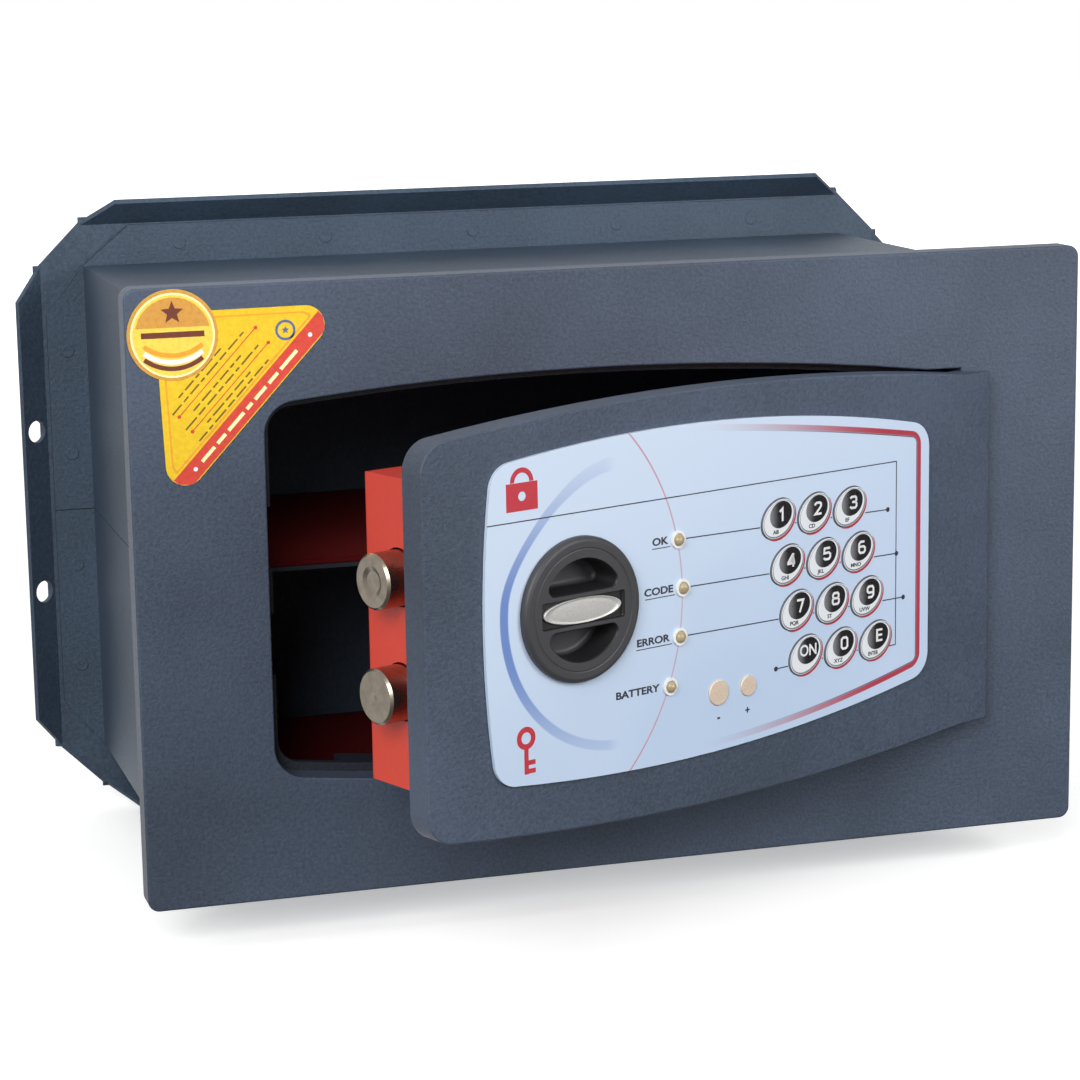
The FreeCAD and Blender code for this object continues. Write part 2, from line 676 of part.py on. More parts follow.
# ---- moving pieces on the door ------------------------------------------------------
def knob_dial():
    """Knob with a flat rim on the panel and a sunk cup, which the grip bar divides."""
    rim_back = FRONT - LABEL_T - 0.3
    front = rim_back - KNOB_PROUD
    rim = y_rod(KNOB_R, KNOB_X, KNOB_Z, front, rim_back)
    rim = round_front_edges(rim, 1.2, front)
    cup = y_rod(KNOB_CUP_R, KNOB_X, KNOB_Z, rim_back, KNOB_BACK)
    hollow = y_rod(KNOB_HOLLOW_R, KNOB_X, KNOB_Z, front - 1, KNOB_BACK - KNOB_FLOOR)
    bore = y_rod(KNOB_NOSE_R, KNOB_X, KNOB_Z, front, KNOB_BACK + 1)
    return cut(fuse(rim, cup), hollow, bore)


def knob_grip():
    """Finger bar across the knob's cup, with a recess for the badge."""
    front = FRONT - LABEL_T - 0.3 - KNOB_PROUD
    half = KNOB_BAR / 2
    bar = box(KNOB_X - 20, KNOB_X + 20, front, KNOB_BACK - KNOB_FLOOR, KNOB_Z - half,
              KNOB_Z + half)
    bar = bar.common(y_rod(KNOB_HOLLOW_R, KNOB_X, KNOB_Z, front, KNOB_BACK))
    recess = box(KNOB_X - 15.9, KNOB_X + 15.9, front - 1, front + 1.6, KNOB_Z - 4.3,
                 KNOB_Z + 4.3)
    bore = y_rod(KNOB_NOSE_R, KNOB_X, KNOB_Z, front + 4.0, KNOB_BACK + 1)
    return cut(bar, recess, bore)


def knob_badge():
    """Blank oval plate set in the knob's bar."""
    front = FRONT - LABEL_T - 0.3 - KNOB_PROUD
    return oval(KNOB_X, KNOB_Z, 15.8, 4.1, 0, front + 0.5, front + 1.6)


def knob_spindle():
    """Stepped shaft: nose in the knob's bar, journal in the bush, tail for the crank."""
    shoulder = FRONT + DOOR_T + 2.6
    nose = y_rod(KNOB_NOSE_R, KNOB_X, KNOB_Z, FRONT - LABEL_T - KNOB_PROUD + 4.0, KNOB_BACK)
    journal = y_rod(JOURNAL_R, KNOB_X, KNOB_Z, KNOB_BACK, shoulder)
    tail = y_rod(SPINDLE_TAIL_R, KNOB_X, KNOB_Z, shoulder, FRONT + 17.4)
    return fuse(nose, journal, tail)


def crank_centre():
    angle = math.radians(CRANK_REST)
    return KNOB_X - CRANK_R * math.sin(angle), KNOB_Z + CRANK_R * math.cos(angle)


def knob_crank():
    """Crank disc on the spindle, with the pin that drives the bolt carriage."""
    y0 = FRONT + 12.6
    y1 = FRONT + 16.6
    x, z = crank_centre()
    disc = y_rod(12.5, KNOB_X, KNOB_Z, y0, y1)
    disc = disc.cut(y_rod(SPINDLE_TAIL_R, KNOB_X, KNOB_Z, y0 - 1, y1 + 1))
    return fuse(disc, y_rod(CRANK_PIN_R, x, z, y1, FRONT + 24.5))


def crank_clip():
    """Retaining ring on the end of the spindle."""
    y0 = FRONT + 16.6
    ring = y_rod(5.2, KNOB_X, KNOB_Z, y0, y0 + 0.8)
    slot = box(KNOB_X - 1.6, KNOB_X + 1.6, y0 - 1, y0 + 2, KNOB_Z - 7, KNOB_Z)
    return cut(ring, y_rod(SPINDLE_TAIL_R, KNOB_X, KNOB_Z, y0 - 1, y0 + 2), slot)


def bolt_carriage():
    """Sliding plate with an upright that carries both bolts."""
    y0 = FRONT + 18.4
    half = 26.0
    main = box(CARRIAGE_X, -41, y0, y0 + 2.5, -half, half)
    upright = box(CARRIAGE_X, CARRIAGE_X + 3, y0, BOLT_Y + 8.4, -half, half)
    x, _ = crank_centre()
    slot_half = CRANK_PIN_R + 0.7
    slot = box(x - slot_half, x + slot_half, y0 - 1, y0 + 4, KNOB_Z + 3.0, KNOB_Z + 12.2)
    notch = box(SOLENOID_X + 3.2, SOLENOID_X + 10.2, y0 - 1, y0 + 4, -half - 1, -21)
    holes = [rod(BOLT_TAIL_R, V(CARRIAGE_X - 4, BOLT_Y, s * BOLT_Z), X_AXIS, 10)
             for s in (-1, 1)]
    return cut(fuse(main, upright), slot, notch, *holes)


def lock_bolt(side):
    """Turned bolt with a chamfered face, and a tail riveted to the carriage."""
    z = side * BOLT_Z

    def section(radius, x0, x1):
        return rod(radius, V(x0, BOLT_Y, z), X_AXIS, x1 - x0)

    face = BOLT_FACE_X
    shank = section(BOLT_R, face, CARRIAGE_X)
    rim = [e for e in shank.Edges if abs(e.BoundBox.XMax - face) < 1e-6]
    shank = shank.makeChamfer(BOLT_CHAMFER, rim)
    tail = section(BOLT_TAIL_R, CARRIAGE_X, CARRIAGE_X + 4.0)
    rivet = section(4.4, CARRIAGE_X + 3.0, CARRIAGE_X + 4.4)
    bolt = fuse(shank, tail, rivet)
    if side < 0:
        return bolt
    dish = Part.makeCone(5.0, 3.4, 0.6, V(face, BOLT_Y, z), X_AXIS)
    return bolt.cut(dish)


def key_cap(place):
    """Oval push key with a round stem through the door."""
    x, z = place
    front = FRONT - LABEL_T - KEY_PROUD
    heel = FRONT - KEY_HEEL
    cap = oval(x, z, KEY_SIZE[0], KEY_SIZE[1], KEY_TILT, front, heel)
    cap = round_front_edges(cap, 0.35, front)
    return fuse(cap, y_rod(KEY_STEM_R, x, z, heel, FRONT + 11.4))


# ---- assembly -----------------------------------------------------------------------
def fixed_pieces():
    return {
        "front_plate": front_plate(),
        "body_shell_upper": body_shell(1),
        "body_shell_lower": body_shell(-1),
        "rear_anchor_plate": rear_anchor_plate(),
        "door_stop_frame": door_stop_frame(),
        "shelf": shelf(),
        "shelf_felt": shelf_felt(),
        "floor_felt": floor_felt(),
        "shelf_rail_left": shelf_rail(-1),
        "shelf_rail_right": shelf_rail(1),
        "hinge_bracket_upper": hinge_bracket(1),
        "hinge_bracket_lower": hinge_bracket(-1),
        "hinge_pin_upper": hinge_pin(1),
        "hinge_pin_lower": hinge_pin(-1),
        "hinge_washers": hinge_washers(),
        "front_sticker": front_sticker(),
    }


def door_pieces():
    pieces = {
        "door_plate": door_plate(),
        "label_panel": label_panel(),
        "hinge_arm_upper": hinge_arm(1),
        "hinge_arm_lower": hinge_arm(-1),
        "lock_box": lock_box(),
        "box_standoffs": box_standoffs(),
        "box_screws": box_screws(),
        "knob_bush": knob_bush(),
        "led_bezels": led_bezels(),
        "led_lamps": led_lamps(),
        "contact_minus": contact(CONTACT_MINUS),
        "contact_plus": contact(CONTACT_PLUS),
        "keypad_board": keypad_board(),
        "control_board": control_board(),
        "battery_tray": battery_tray(),
        "batteries": batteries(),
        "battery_cover": battery_cover(),
        "solenoid_body": solenoid_body(),
        "solenoid_plunger": solenoid_plunger(),
        "plunger_spring": plunger_spring(),
        "carriage_guides": carriage_guides(),
        "wiring": wiring(),
        "knob_dial": knob_dial(),
        "knob_grip": knob_grip(),
        "knob_badge": knob_badge(),
        "knob_spindle": knob_spindle(),
        "knob_crank": knob_crank(),
        "crank_clip": crank_clip(),
        "bolt_carriage": bolt_carriage(),
        "lock_bolt_upper": lock_bolt(1),
        "lock_bolt_lower": lock_bolt(-1),
    }
    for name, place in key_places().items():
        pieces["key_" + name] = key_cap(place)
    return pieces


def main():
    os.makedirs("parts", exist_ok=True)
    nodes = fixed_pieces()
    for name, shape in door_pieces().items():
        shape.rotate(V(HINGE_X, HINGE_Y, 0), Z_AXIS, DOOR_AJAR)
        nodes[name] = shape
    for name, shape in nodes.items():
        if not shape.isValid() or shape.Volume <= 0:
            print("bad shape", name)
        shape.exportStep("parts/" + name + ".step")
    print(len(nodes), "nodes written")


main()
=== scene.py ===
"""Looks of the wall safe: materials for every CAD node, the printed graphics, the felt
liners, the moulded knob, weld marks, studio light, floor and camera. Metres."""

import json
import math

import bmesh
import bpy
from mathutils import Matrix, Vector


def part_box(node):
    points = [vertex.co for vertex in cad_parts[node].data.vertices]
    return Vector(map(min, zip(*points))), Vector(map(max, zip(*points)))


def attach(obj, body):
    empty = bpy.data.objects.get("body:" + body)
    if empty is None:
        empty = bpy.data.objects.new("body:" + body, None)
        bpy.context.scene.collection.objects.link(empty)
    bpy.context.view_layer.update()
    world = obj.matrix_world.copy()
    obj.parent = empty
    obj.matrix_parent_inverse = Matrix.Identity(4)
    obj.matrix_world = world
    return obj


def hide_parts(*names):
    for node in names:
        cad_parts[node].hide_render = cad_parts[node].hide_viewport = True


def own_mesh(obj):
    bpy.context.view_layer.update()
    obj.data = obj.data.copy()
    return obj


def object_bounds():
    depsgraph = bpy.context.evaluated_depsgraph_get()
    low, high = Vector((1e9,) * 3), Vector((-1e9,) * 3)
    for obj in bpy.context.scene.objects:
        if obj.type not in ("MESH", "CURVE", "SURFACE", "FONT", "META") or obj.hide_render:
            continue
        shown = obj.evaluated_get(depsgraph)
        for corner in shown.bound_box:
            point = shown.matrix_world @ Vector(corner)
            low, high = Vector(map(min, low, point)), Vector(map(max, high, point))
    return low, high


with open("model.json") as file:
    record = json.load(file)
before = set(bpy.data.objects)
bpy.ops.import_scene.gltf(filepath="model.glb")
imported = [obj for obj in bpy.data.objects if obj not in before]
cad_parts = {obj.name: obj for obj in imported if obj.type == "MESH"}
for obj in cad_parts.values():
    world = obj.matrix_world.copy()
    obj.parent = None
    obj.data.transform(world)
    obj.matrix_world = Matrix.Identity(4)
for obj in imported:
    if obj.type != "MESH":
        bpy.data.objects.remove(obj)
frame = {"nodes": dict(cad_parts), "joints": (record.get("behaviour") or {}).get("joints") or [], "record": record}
cad_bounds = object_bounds()
nodes = frame["nodes"]
joints = {joint["name"]: joint for joint in frame["joints"]}

MM = 0.001


# ---- places taken from the frame ------------------------
def centre(node):
    low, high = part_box(node)
    return (low + high) / 2


HINGE = Vector(joints["door_hinge"]["pos_m"])
KEY_AXIS = Vector(joints["press_1"]["axis"])
DOOR_ANGLE = math.atan2(-KEY_AXIS.x, KEY_AXIS.y)
TO_DOOR = (Matrix.Translation(HINGE) @ Matrix.Rotation(DOOR_ANGLE, 4, "Z")
           @ Matrix.Translation(-HINGE))
FROM_DOOR = TO_DOOR.inverted()
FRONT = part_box("front_plate")[0].y
LABEL_T = 1.2 * MM
LABEL_FACE = FRONT - LABEL_T
KNOB_CENTRE = FROM_DOOR @ Vector(joints["knob_turn"]["pos_m"])
KNOB_FRONT = LABEL_FACE - 3.0 * MM
KEY_PROUD = 0.8 * MM
PRINT_T = 0.05 * MM                  # thickness of printed ink, as real geometry
SHELF_FELT_FLAT = (0.304, 0.137)
FLOOR_FELT_FLAT = (0.305, 0.166)
KEY_NAMES = ("1", "2", "3", "4", "5", "6", "7", "8", "9", "on", "0", "enter")


# ---- node materials ------------------------
class Nodes:
    """A node tree that is built with short calls."""

    def __init__(self, tree):
        self.tree = tree

    def node(self, kind, **settings):
        made = self.tree.nodes.new(kind)
        for key, value in settings.items():
            setattr(made, key, value)
        return made

    def link(self, source, target):
        self.tree.links.new(source, target)

    def feed(self, target, value):
        if isinstance(value, bpy.types.NodeSocket):
            self.link(value, target)
        else:
            target.default_value = value

    def math(self, operation, first, second=0.0, third=0.0):
        made = self.node("ShaderNodeMath", operation=operation)
        for target, value in zip(made.inputs, (first, second, third)):
            self.feed(target, value)
        return made.outputs[0]

    def remap(self, value, low, high, to_low, to_high, curve="LINEAR"):
        made = self.node("ShaderNodeMapRange", interpolation_type=curve)
        for key, number in (("From Min", low), ("From Max", high), ("To Min", to_low),
                            ("To Max", to_high)):
            made.inputs[key].default_value = number
        self.feed(made.inputs["Value"], value)
        return made.outputs["Result"]

    def smooth(self, value, low, high, to_low=0.0, to_high=1.0):
        return self.remap(value, low, high, to_low, to_high, "SMOOTHSTEP")

    def split(self, vector):
        made = self.node("ShaderNodeSeparateXYZ")
        self.link(vector, made.inputs[0])
        return made.outputs


class Paint(Nodes):
    """A material, with its textures in the object's own coordinates."""

    def __init__(self, name):
        self.material = bpy.data.materials.new(name)
        self.material.use_nodes = True
        super().__init__(self.material.node_tree)
        self.shader = self.tree.nodes["Principled BSDF"]
        self.here = self.node("ShaderNodeTexCoord").outputs["Object"]

    def noise(self, scale, detail=2.0, rough=0.5, at=None, distortion=0.0):
        made = self.node("ShaderNodeTexNoise")
        self.link(at or self.here, made.inputs["Vector"])
        made.inputs["Scale"].default_value = scale
        made.inputs["Detail"].default_value = detail
        made.inputs["Roughness"].default_value = rough
        made.inputs["Distortion"].default_value = distortion
        return made.outputs["Fac"]

    def cells(self, scale):
        made = self.node("ShaderNodeTexVoronoi")
        self.link(self.here, made.inputs["Vector"])
        made.inputs["Scale"].default_value = scale
        return made.outputs["Distance"]

    def mix(self, share, first, second):
        made = self.node("ShaderNodeMix", data_type="RGBA")
        self.feed(made.inputs[0], share)
        self.feed(made.inputs[6], first)
        self.feed(made.inputs[7], second)
        return made.outputs[2]

    def stretched(self, factors):
        made = self.node("ShaderNodeMapping")
        made.inputs["Scale"].default_value = factors
        self.link(self.here, made.inputs["Vector"])
        return made.outputs["Vector"]

    def in_door(self):
        """Coordinates of the shut door, from those of the door as stored."""
        made = self.node("ShaderNodeVectorRotate", rotation_type="Z_AXIS")
        self.link(self.here, made.inputs["Vector"])
        made.inputs["Center"].default_value = HINGE
        made.inputs["Angle"].default_value = -DOOR_ANGLE
        return made.outputs["Vector"]

    def bump(self, height, strength, distance):
        made = self.node("ShaderNodeBump")
        made.inputs["Strength"].default_value = strength
        made.inputs["Distance"].default_value = distance
        self.link(height, made.inputs["Height"])
        self.link(made.outputs["Normal"], self.shader.inputs["Normal"])

    def surface(self, **sockets):
        names = {"colour": "Base Color", "rough": "Roughness", "metal": "Metallic",
                 "coat": "Coat Weight", "coat_rough": "Coat Roughness", "ior": "IOR",
                 "specular": "Specular IOR Level", "sheen": "Sheen Weight",
                 "sheen_rough": "Sheen Roughness", "sheen_tint": "Sheen Tint",
                 "transmission": "Transmission Weight"}
        for key, value in sockets.items():
            self.feed(self.shader.inputs[names[key]], value)
        return self.material


def rgb(red, green, blue):
    """Linear colour from display values, 0 to 255."""
    def linear(value):
        value = value / 255
        return value / 12.92 if value <= 0.04045 else ((value + 0.055) / 1.055) ** 2.4
    return linear(red), linear(green), linear(blue), 1.0


def lighter(colour, factor):
    return tuple(min(1.0, channel * factor) for channel in colour[:3]) + (1.0,)


def powder_coat(name, colour, grain=1.0, rough=0.5):
    """Fine-textured powder coat: rounded grain about a millimetre across, a finer
    orange peel under it, and slow changes of tone over the sheet."""
    speckle = 0.34
    paint = Paint(name)
    coarse = paint.noise(820 / grain, 3.0, 0.62)
    fine = paint.noise(2600 / grain, 2.0, 0.5)
    slow = paint.noise(9.0, 3.0, 0.55)
    grain_height = paint.math("MULTIPLY_ADD", fine, 0.35, coarse)
    paint.bump(grain_height, 0.8, 0.24 * MM)
    tone = paint.math("MULTIPLY_ADD", slow, 0.55, paint.math("MULTIPLY", coarse, 0.45))
    base = paint.mix(paint.smooth(tone, 0.30, 0.70), lighter(colour, 1 - speckle),
                     lighter(colour, 1 + speckle))
    pits = paint.smooth(paint.noise(420 / grain, 1.0), 0.66, 0.74)
    base = paint.mix(paint.math("MULTIPLY", pits, 0.25), base, lighter(colour, 0.55))
    gloss = paint.remap(coarse, 0.3, 0.7, rough - 0.07, rough + 0.08)
    return paint.surface(colour=base, rough=gloss, specular=0.45)


def satin_red(name):
    """Smooth red powder coat with a slight orange peel."""
    paint = Paint(name)
    peel = paint.noise(420, 2.0, 0.5)
    paint.bump(peel, 0.25, 0.00008)
    slow = paint.noise(14, 2.0)
    base = paint.mix(paint.smooth(slow, 0.35, 0.65), rgb(204, 52, 31), rgb(212, 60, 37))
    return paint.surface(colour=base, rough=paint.remap(peel, 0.3, 0.7, 0.36, 0.48),
                         coat=0.25, coat_rough=0.35)


def turned_nickel(name):
    """Plated steel turned on a lathe: fine rings on the face, soft stains."""
    paint = Paint(name)
    x, y, z = paint.split(paint.in_door())
    bolt = FROM_DOOR @ centre("lock_bolt_upper")
    across = paint.math("SUBTRACT", y, bolt.y)
    up = paint.math("SUBTRACT", paint.math("ABSOLUTE", z), bolt.z)
    radius = paint.math("SQRT", paint.math("ADD", paint.math("MULTIPLY", across, across),
                                           paint.math("MULTIPLY", up, up)))
    rings = paint.math("SINE", paint.math("MULTIPLY", radius, 2 * math.pi / (0.22 * MM)))
    threads = paint.math("SINE", paint.math("MULTIPLY", x, 2 * math.pi / (0.30 * MM)))
    marks = paint.math("ADD", rings, threads)
    paint.bump(marks, 0.12, 0.00001)
    stain = paint.noise(260, 4.0, 0.6)
    base = paint.mix(paint.smooth(stain, 0.35, 0.7), rgb(168, 158, 143), rgb(154, 144, 130))
    return paint.surface(colour=base, metal=1.0, rough=paint.remap(stain, 0.3, 0.7, 0.24, 0.34))


def zinc(name, tint=(178, 180, 184)):
    """Zinc-plated steel with a faint crystalline haze and dull patches."""
    paint = Paint(name)
    haze = paint.noise(900, 3.0, 0.6)
    patches = paint.noise(70, 3.0, 0.55)
    paint.bump(haze, 0.2, 0.00004)
    base = paint.mix(paint.smooth(patches, 0.35, 0.65), rgb(*tint),
                     rgb(tint[0] - 24, tint[1] - 20, tint[2] - 22))
    return paint.surface(colour=base, metal=1.0, rough=paint.remap(patches, 0.3, 0.7, 0.28, 0.45))


def moulded_plastic(name, colour, rough=0.5, grain=0.35):
    """Injection-moulded plastic with a spark-eroded grain."""
    paint = Paint(name)
    spark = paint.noise(1000 / grain, 2.0, 0.55)
    flow = paint.noise(40, 2.0)
    paint.bump(spark, 0.35, 0.00005)
    base = paint.mix(paint.smooth(flow, 0.3, 0.7), lighter(colour, 0.94), lighter(colour, 1.06))
    gloss = paint.remap(spark, 0.3, 0.7, rough - 0.06, rough + 0.06)
    return paint.surface(colour=base, rough=gloss)


def felt(name):
    """Needle felt: tangled fibres, a soft sheen and slow patches of wear."""
    paint = Paint(name)
    fibres = paint.noise(2200, 4.0, 0.7, at=paint.stretched((1.0, 0.35, 1.0)), distortion=1.5)
    tufts = paint.noise(380, 3.0, 0.6)
    wear = paint.noise(22, 3.0, 0.6)
    paint.bump(paint.math("MULTIPLY_ADD", fibres, 0.6, tufts), 0.9, 0.0004)
    base = paint.mix(paint.smooth(fibres, 0.3, 0.7), rgb(58, 4, 6), rgb(96, 10, 12))
    base = paint.mix(paint.math("MULTIPLY", paint.smooth(wear, 0.45, 0.75), 0.35), base,
                     rgb(84, 16, 18))
    return paint.surface(colour=base, rough=0.95, sheen=0.25, sheen_rough=0.5,
                         sheen_tint=rgb(170, 50, 50), specular=0.15)


def label_film(name):
    """Printed polycarbonate: pale blue ground with a soft blue arc left of the knob, a
    fine pink arc through the lamps, and a red band that fades out to the left."""
    paint = Paint(name)
    x, _, z = paint.split(paint.in_door())
    x = paint.math("MULTIPLY", x, 1000)
    z = paint.math("MULTIPLY", z, 1000)

    def distance(cx, cz):
        dx = paint.math("SUBTRACT", x, cx)
        dz = paint.math("SUBTRACT", z, cz)
        squares = paint.math("MULTIPLY_ADD", dx, dx, paint.math("MULTIPLY", dz, dz))
        return paint.math("SQRT", squares)

    def band(value, middle, half, soft=0.12):
        away = paint.math("ABSOLUTE", paint.math("SUBTRACT", value, middle))
        return paint.math("SUBTRACT", 1.0, paint.smooth(away, half - soft, half + soft))

    blue_centre, blue_radius = (-47.6, 5.4), 46.8
    pink_centre, pink_radius = (-100.0, 4.6), 79.0
    band_right, band_top, band_foot = 87.7, 45.3, -36.8
    corner = 3.2
    weave = paint.noise(1500, 2.0)
    slow = paint.noise(12, 2.0)
    ground = paint.mix(paint.smooth(slow, 0.3, 0.7), rgb(178, 197, 221), rgb(186, 203, 226))
    high = paint.smooth(paint.math("SUBTRACT", z, paint.math("MULTIPLY", x, 0.35)), -40, 80)
    ground = paint.mix(high, ground, rgb(197, 211, 230))

    # blue arc, thick beside the knob and fading at both ends
    height = paint.math("ABSOLUTE", paint.math("SUBTRACT", z, 2.0))
    left_of_knob = paint.math("SUBTRACT", 1.0, paint.smooth(x, -54, -48))
    fade = paint.math("SUBTRACT", 1.0, paint.smooth(height, 6, 64))
    flatter = paint.math("MULTIPLY", paint.smooth(z, 10, 36),
                         paint.math("SUBTRACT", 1.0, paint.smooth(z, 40, 60)))
    spread = paint.math("MULTIPLY_ADD", flatter, 3.7, distance(*blue_centre))
    blue = band(spread, blue_radius, 1.6, 0.3)
    blue = paint.math("MULTIPLY", paint.math("MULTIPLY", blue, left_of_knob), fade)
    colour = paint.mix(blue, ground, rgb(103, 132, 190))

    # fine pink arc
    pink = band(distance(*pink_centre), pink_radius, 0.26, 0.16)
    right_of = paint.math("GREATER_THAN", x, -46.6)
    dull = paint.remap(height, 0, 55, 0.55, 0.85)
    pink = paint.math("MULTIPLY", paint.math("MULTIPLY", pink, right_of), dull)
    colour = paint.mix(pink, colour, rgb(190, 112, 130))

    # red band: an outline with round corners, open and fading towards the left, with a
    # fine dark line inside it
    back = paint.math("SUBTRACT", 83.7, x)
    slope_above = paint.math("MULTIPLY_ADD", paint.math("MULTIPLY_ADD", back, -0.0004, 0.17),
                             back, band_top)
    slope_below = paint.math("MULTIPLY_ADD", paint.math("MULTIPLY_ADD", back, 0.0010, -0.22),
                             back, band_foot)
    over = paint.math("MAXIMUM", paint.math("SUBTRACT", z, slope_above),
                      paint.math("SUBTRACT", slope_below, z))
    up = paint.math("ADD", over, corner)
    out = paint.math("ADD", paint.math("SUBTRACT", x, band_right), corner)
    up_only = paint.math("MAXIMUM", up, 0.0)
    out_only = paint.math("MAXIMUM", out, 0.0)
    reach = paint.math("SQRT", paint.math("MULTIPLY_ADD", up_only, up_only,
                                          paint.math("MULTIPLY", out_only, out_only)))
    from_band = paint.math("SUBTRACT", reach, corner)
    fade_left = paint.smooth(x, -18, 72)
    red = paint.math("MULTIPLY", band(from_band, 0, 0.9), fade_left)
    colour = paint.mix(red, colour, rgb(168, 54, 72))
    rim = paint.math("MULTIPLY", band(from_band, -1.15, 0.2), fade_left)
    colour = paint.mix(rim, colour, rgb(84, 66, 84))

    paint.bump(weave, 0.08, 0.00003)
    return paint.surface(colour=colour, rough=paint.remap(weave, 0.3, 0.7, 0.34, 0.42),
                         coat=0.15, coat_rough=0.3)


def ink(name, colour, rough=0.45):
    """Screen-printed ink, a little uneven."""
    paint = Paint(name)
    patches = paint.noise(700, 2.0)
    base = paint.mix(paint.smooth(patches, 0.3, 0.7), colour, lighter(colour, 1.12))
    gloss = paint.remap(patches, 0.3, 0.7, rough - 0.05, rough + 0.05)
    return paint.surface(colour=base, rough=gloss)


def key_ink(name):
    """Black key disc, printed with a grey gleam that fades to the right."""
    paint = Paint(name)
    across, _, _ = paint.split(paint.tree.nodes["Texture Coordinate"].outputs["Generated"])
    patches = paint.noise(900, 2.0)
    gleam = paint.math("SUBTRACT", 1.0, paint.smooth(across, 0.16, 0.52))
    base = paint.mix(gleam, rgb(27, 26, 29), rgb(128, 128, 132))
    return paint.surface(colour=base, rough=paint.remap(patches, 0.3, 0.7, 0.26, 0.36))


def amber_lens(name):
    """Half-clear plastic with a pale amber tint."""
    paint = Paint(name)
    swirl = paint.noise(900, 2.0)
    base = paint.mix(paint.smooth(swirl, 0.3, 0.7), rgb(188, 170, 132), rgb(206, 190, 154))
    return paint.surface(colour=base, rough=0.12, transmission=0.35, ior=1.49)


def speckled_metal(name, colour, rough=0.35):
    """Cast or stamped metal with a sparkling grain. It is only partly metallic, so that it
    keeps its own brightness where the room it reflects is dark."""
    paint = Paint(name)
    flakes = paint.cells(3200)
    paint.bump(flakes, 0.25, 0.00004)
    base = paint.mix(paint.smooth(flakes, 0.2, 0.8), lighter(colour, 0.86), lighter(colour, 1.08))
    gloss = paint.remap(flakes, 0.2, 0.8, rough - 0.05, rough + 0.1)
    return paint.surface(colour=base, metal=0.35, rough=gloss)


def key_cap(name):
    """Pale key film over a grey moulded key: the grey shows at the key's edge."""
    paint = Paint(name)
    _, y, _ = paint.split(paint.in_door())
    spark = paint.noise(2000, 2.0, 0.55)
    paint.bump(spark, 0.3, 0.00003)
    behind = paint.math("SUBTRACT", y, LABEL_FACE - KEY_PROUD)
    edge = paint.smooth(behind, 0.03 * MM, 0.12 * MM)
    base = paint.mix(edge, rgb(216, 220, 224), rgb(104, 106, 112))
    return paint.surface(colour=base, rough=paint.remap(spark, 0.3, 0.7, 0.3, 0.4))


def circuit_board(name):
    """Green solder mask with copper tracks showing through as lighter strips."""
    paint = Paint(name)
    x, _, z = paint.split(paint.in_door())
    turns = 2 * math.pi / (2.5 * MM)
    tracks = paint.math("SINE", paint.math("MULTIPLY", paint.math("ADD", x, z), turns))
    base = paint.mix(paint.smooth(tracks, 0.55, 0.7), rgb(14, 74, 40), rgb(34, 110, 62))
    return paint.surface(colour=base, rough=0.3, coat=0.4, coat_rough=0.2)


def battery_jacket(name):
    """Shrink-wrapped cells: dark jacket with one lighter end band and fine wrinkles."""
    band_starts = 10 * MM
    paint = Paint(name)
    _, _, z = paint.split(paint.in_door())
    wrinkles = paint.noise(500, 2.0)
    paint.bump(wrinkles, 0.15, 0.00004)
    base = paint.mix(paint.math("GREATER_THAN", z, band_starts), rgb(40, 44, 54), rgb(196, 150, 70))
    return paint.surface(colour=base, rough=0.3, coat=0.5, coat_rough=0.15)


def pale_floor(name):
    """Near-white floor that glows more with depth, until it meets the white wall."""
    paint = Paint(name)
    dust = paint.noise(60, 3.0)
    base = paint.mix(paint.smooth(dust, 0.3, 0.7), rgb(238, 238, 238), rgb(241, 241, 241))
    paint.shader.inputs["Emission Color"].default_value = (1.0, 1.0, 1.0, 1.0)
    _, depth, _ = paint.split(paint.here)
    far = paint.smooth(depth, 0.3, 2.5)
    paint.link(paint.math("MULTIPLY_ADD", far, 0.7, 0.42), paint.shader.inputs["Emission Strength"])
    return paint.surface(colour=base, rough=0.65, specular=0.2)


PLATE_BLUE = rgb(64, 75, 92)
BODY_BLUE = rgb(60, 75, 92)

slot_materials = {
    "plate_powder_coat": powder_coat("plate_coat", PLATE_BLUE),
    "body_powder_coat": powder_coat("body_coat", BODY_BLUE, grain=1.1, rough=0.52),
    "red_powder_coat": satin_red("red_coat"),
    "bolt_nickel": turned_nickel("bolt_nickel"),
    "zinc_steel": zinc("zinc_steel"),
    "spring_steel": zinc("spring_steel", (150, 150, 152)),
    "label_film": label_film("label_film"),
    "knob_plastic": moulded_plastic("knob_plastic", rgb(58, 58, 61), 0.48),
    "badge_metal": speckled_metal("badge_metal", rgb(196, 195, 192)),
    "key_plastic": key_cap("key_plastic"),
    "lamp_bezel": moulded_plastic("lamp_bezel", rgb(224, 224, 220), 0.3, 0.5),
    "lamp_lens": amber_lens("lamp_lens"),
    "contact_metal": speckled_metal("contact_metal", rgb(222, 202, 182), 0.45),
    "circuit_board": circuit_board("circuit_board"),
    "red_felt": felt("red_felt"),
    "battery_jacket": battery_jacket("battery_jacket"),
    "black_plastic": moulded_plastic("black_plastic", rgb(38, 38, 40), 0.5),
    "wire_jacket": moulded_plastic("wire_jacket", rgb(150, 28, 26), 0.4),
    "sticker_film": ink("sticker_film", rgb(228, 190, 40), 0.35),
}


def coat(node, material):
    nodes[node].data.materials.clear()
    nodes[node].data.materials.append(material)


for part in frame["record"]["subparts"]:
    coat(part["node"], slot_materials[part["material_slot"]])

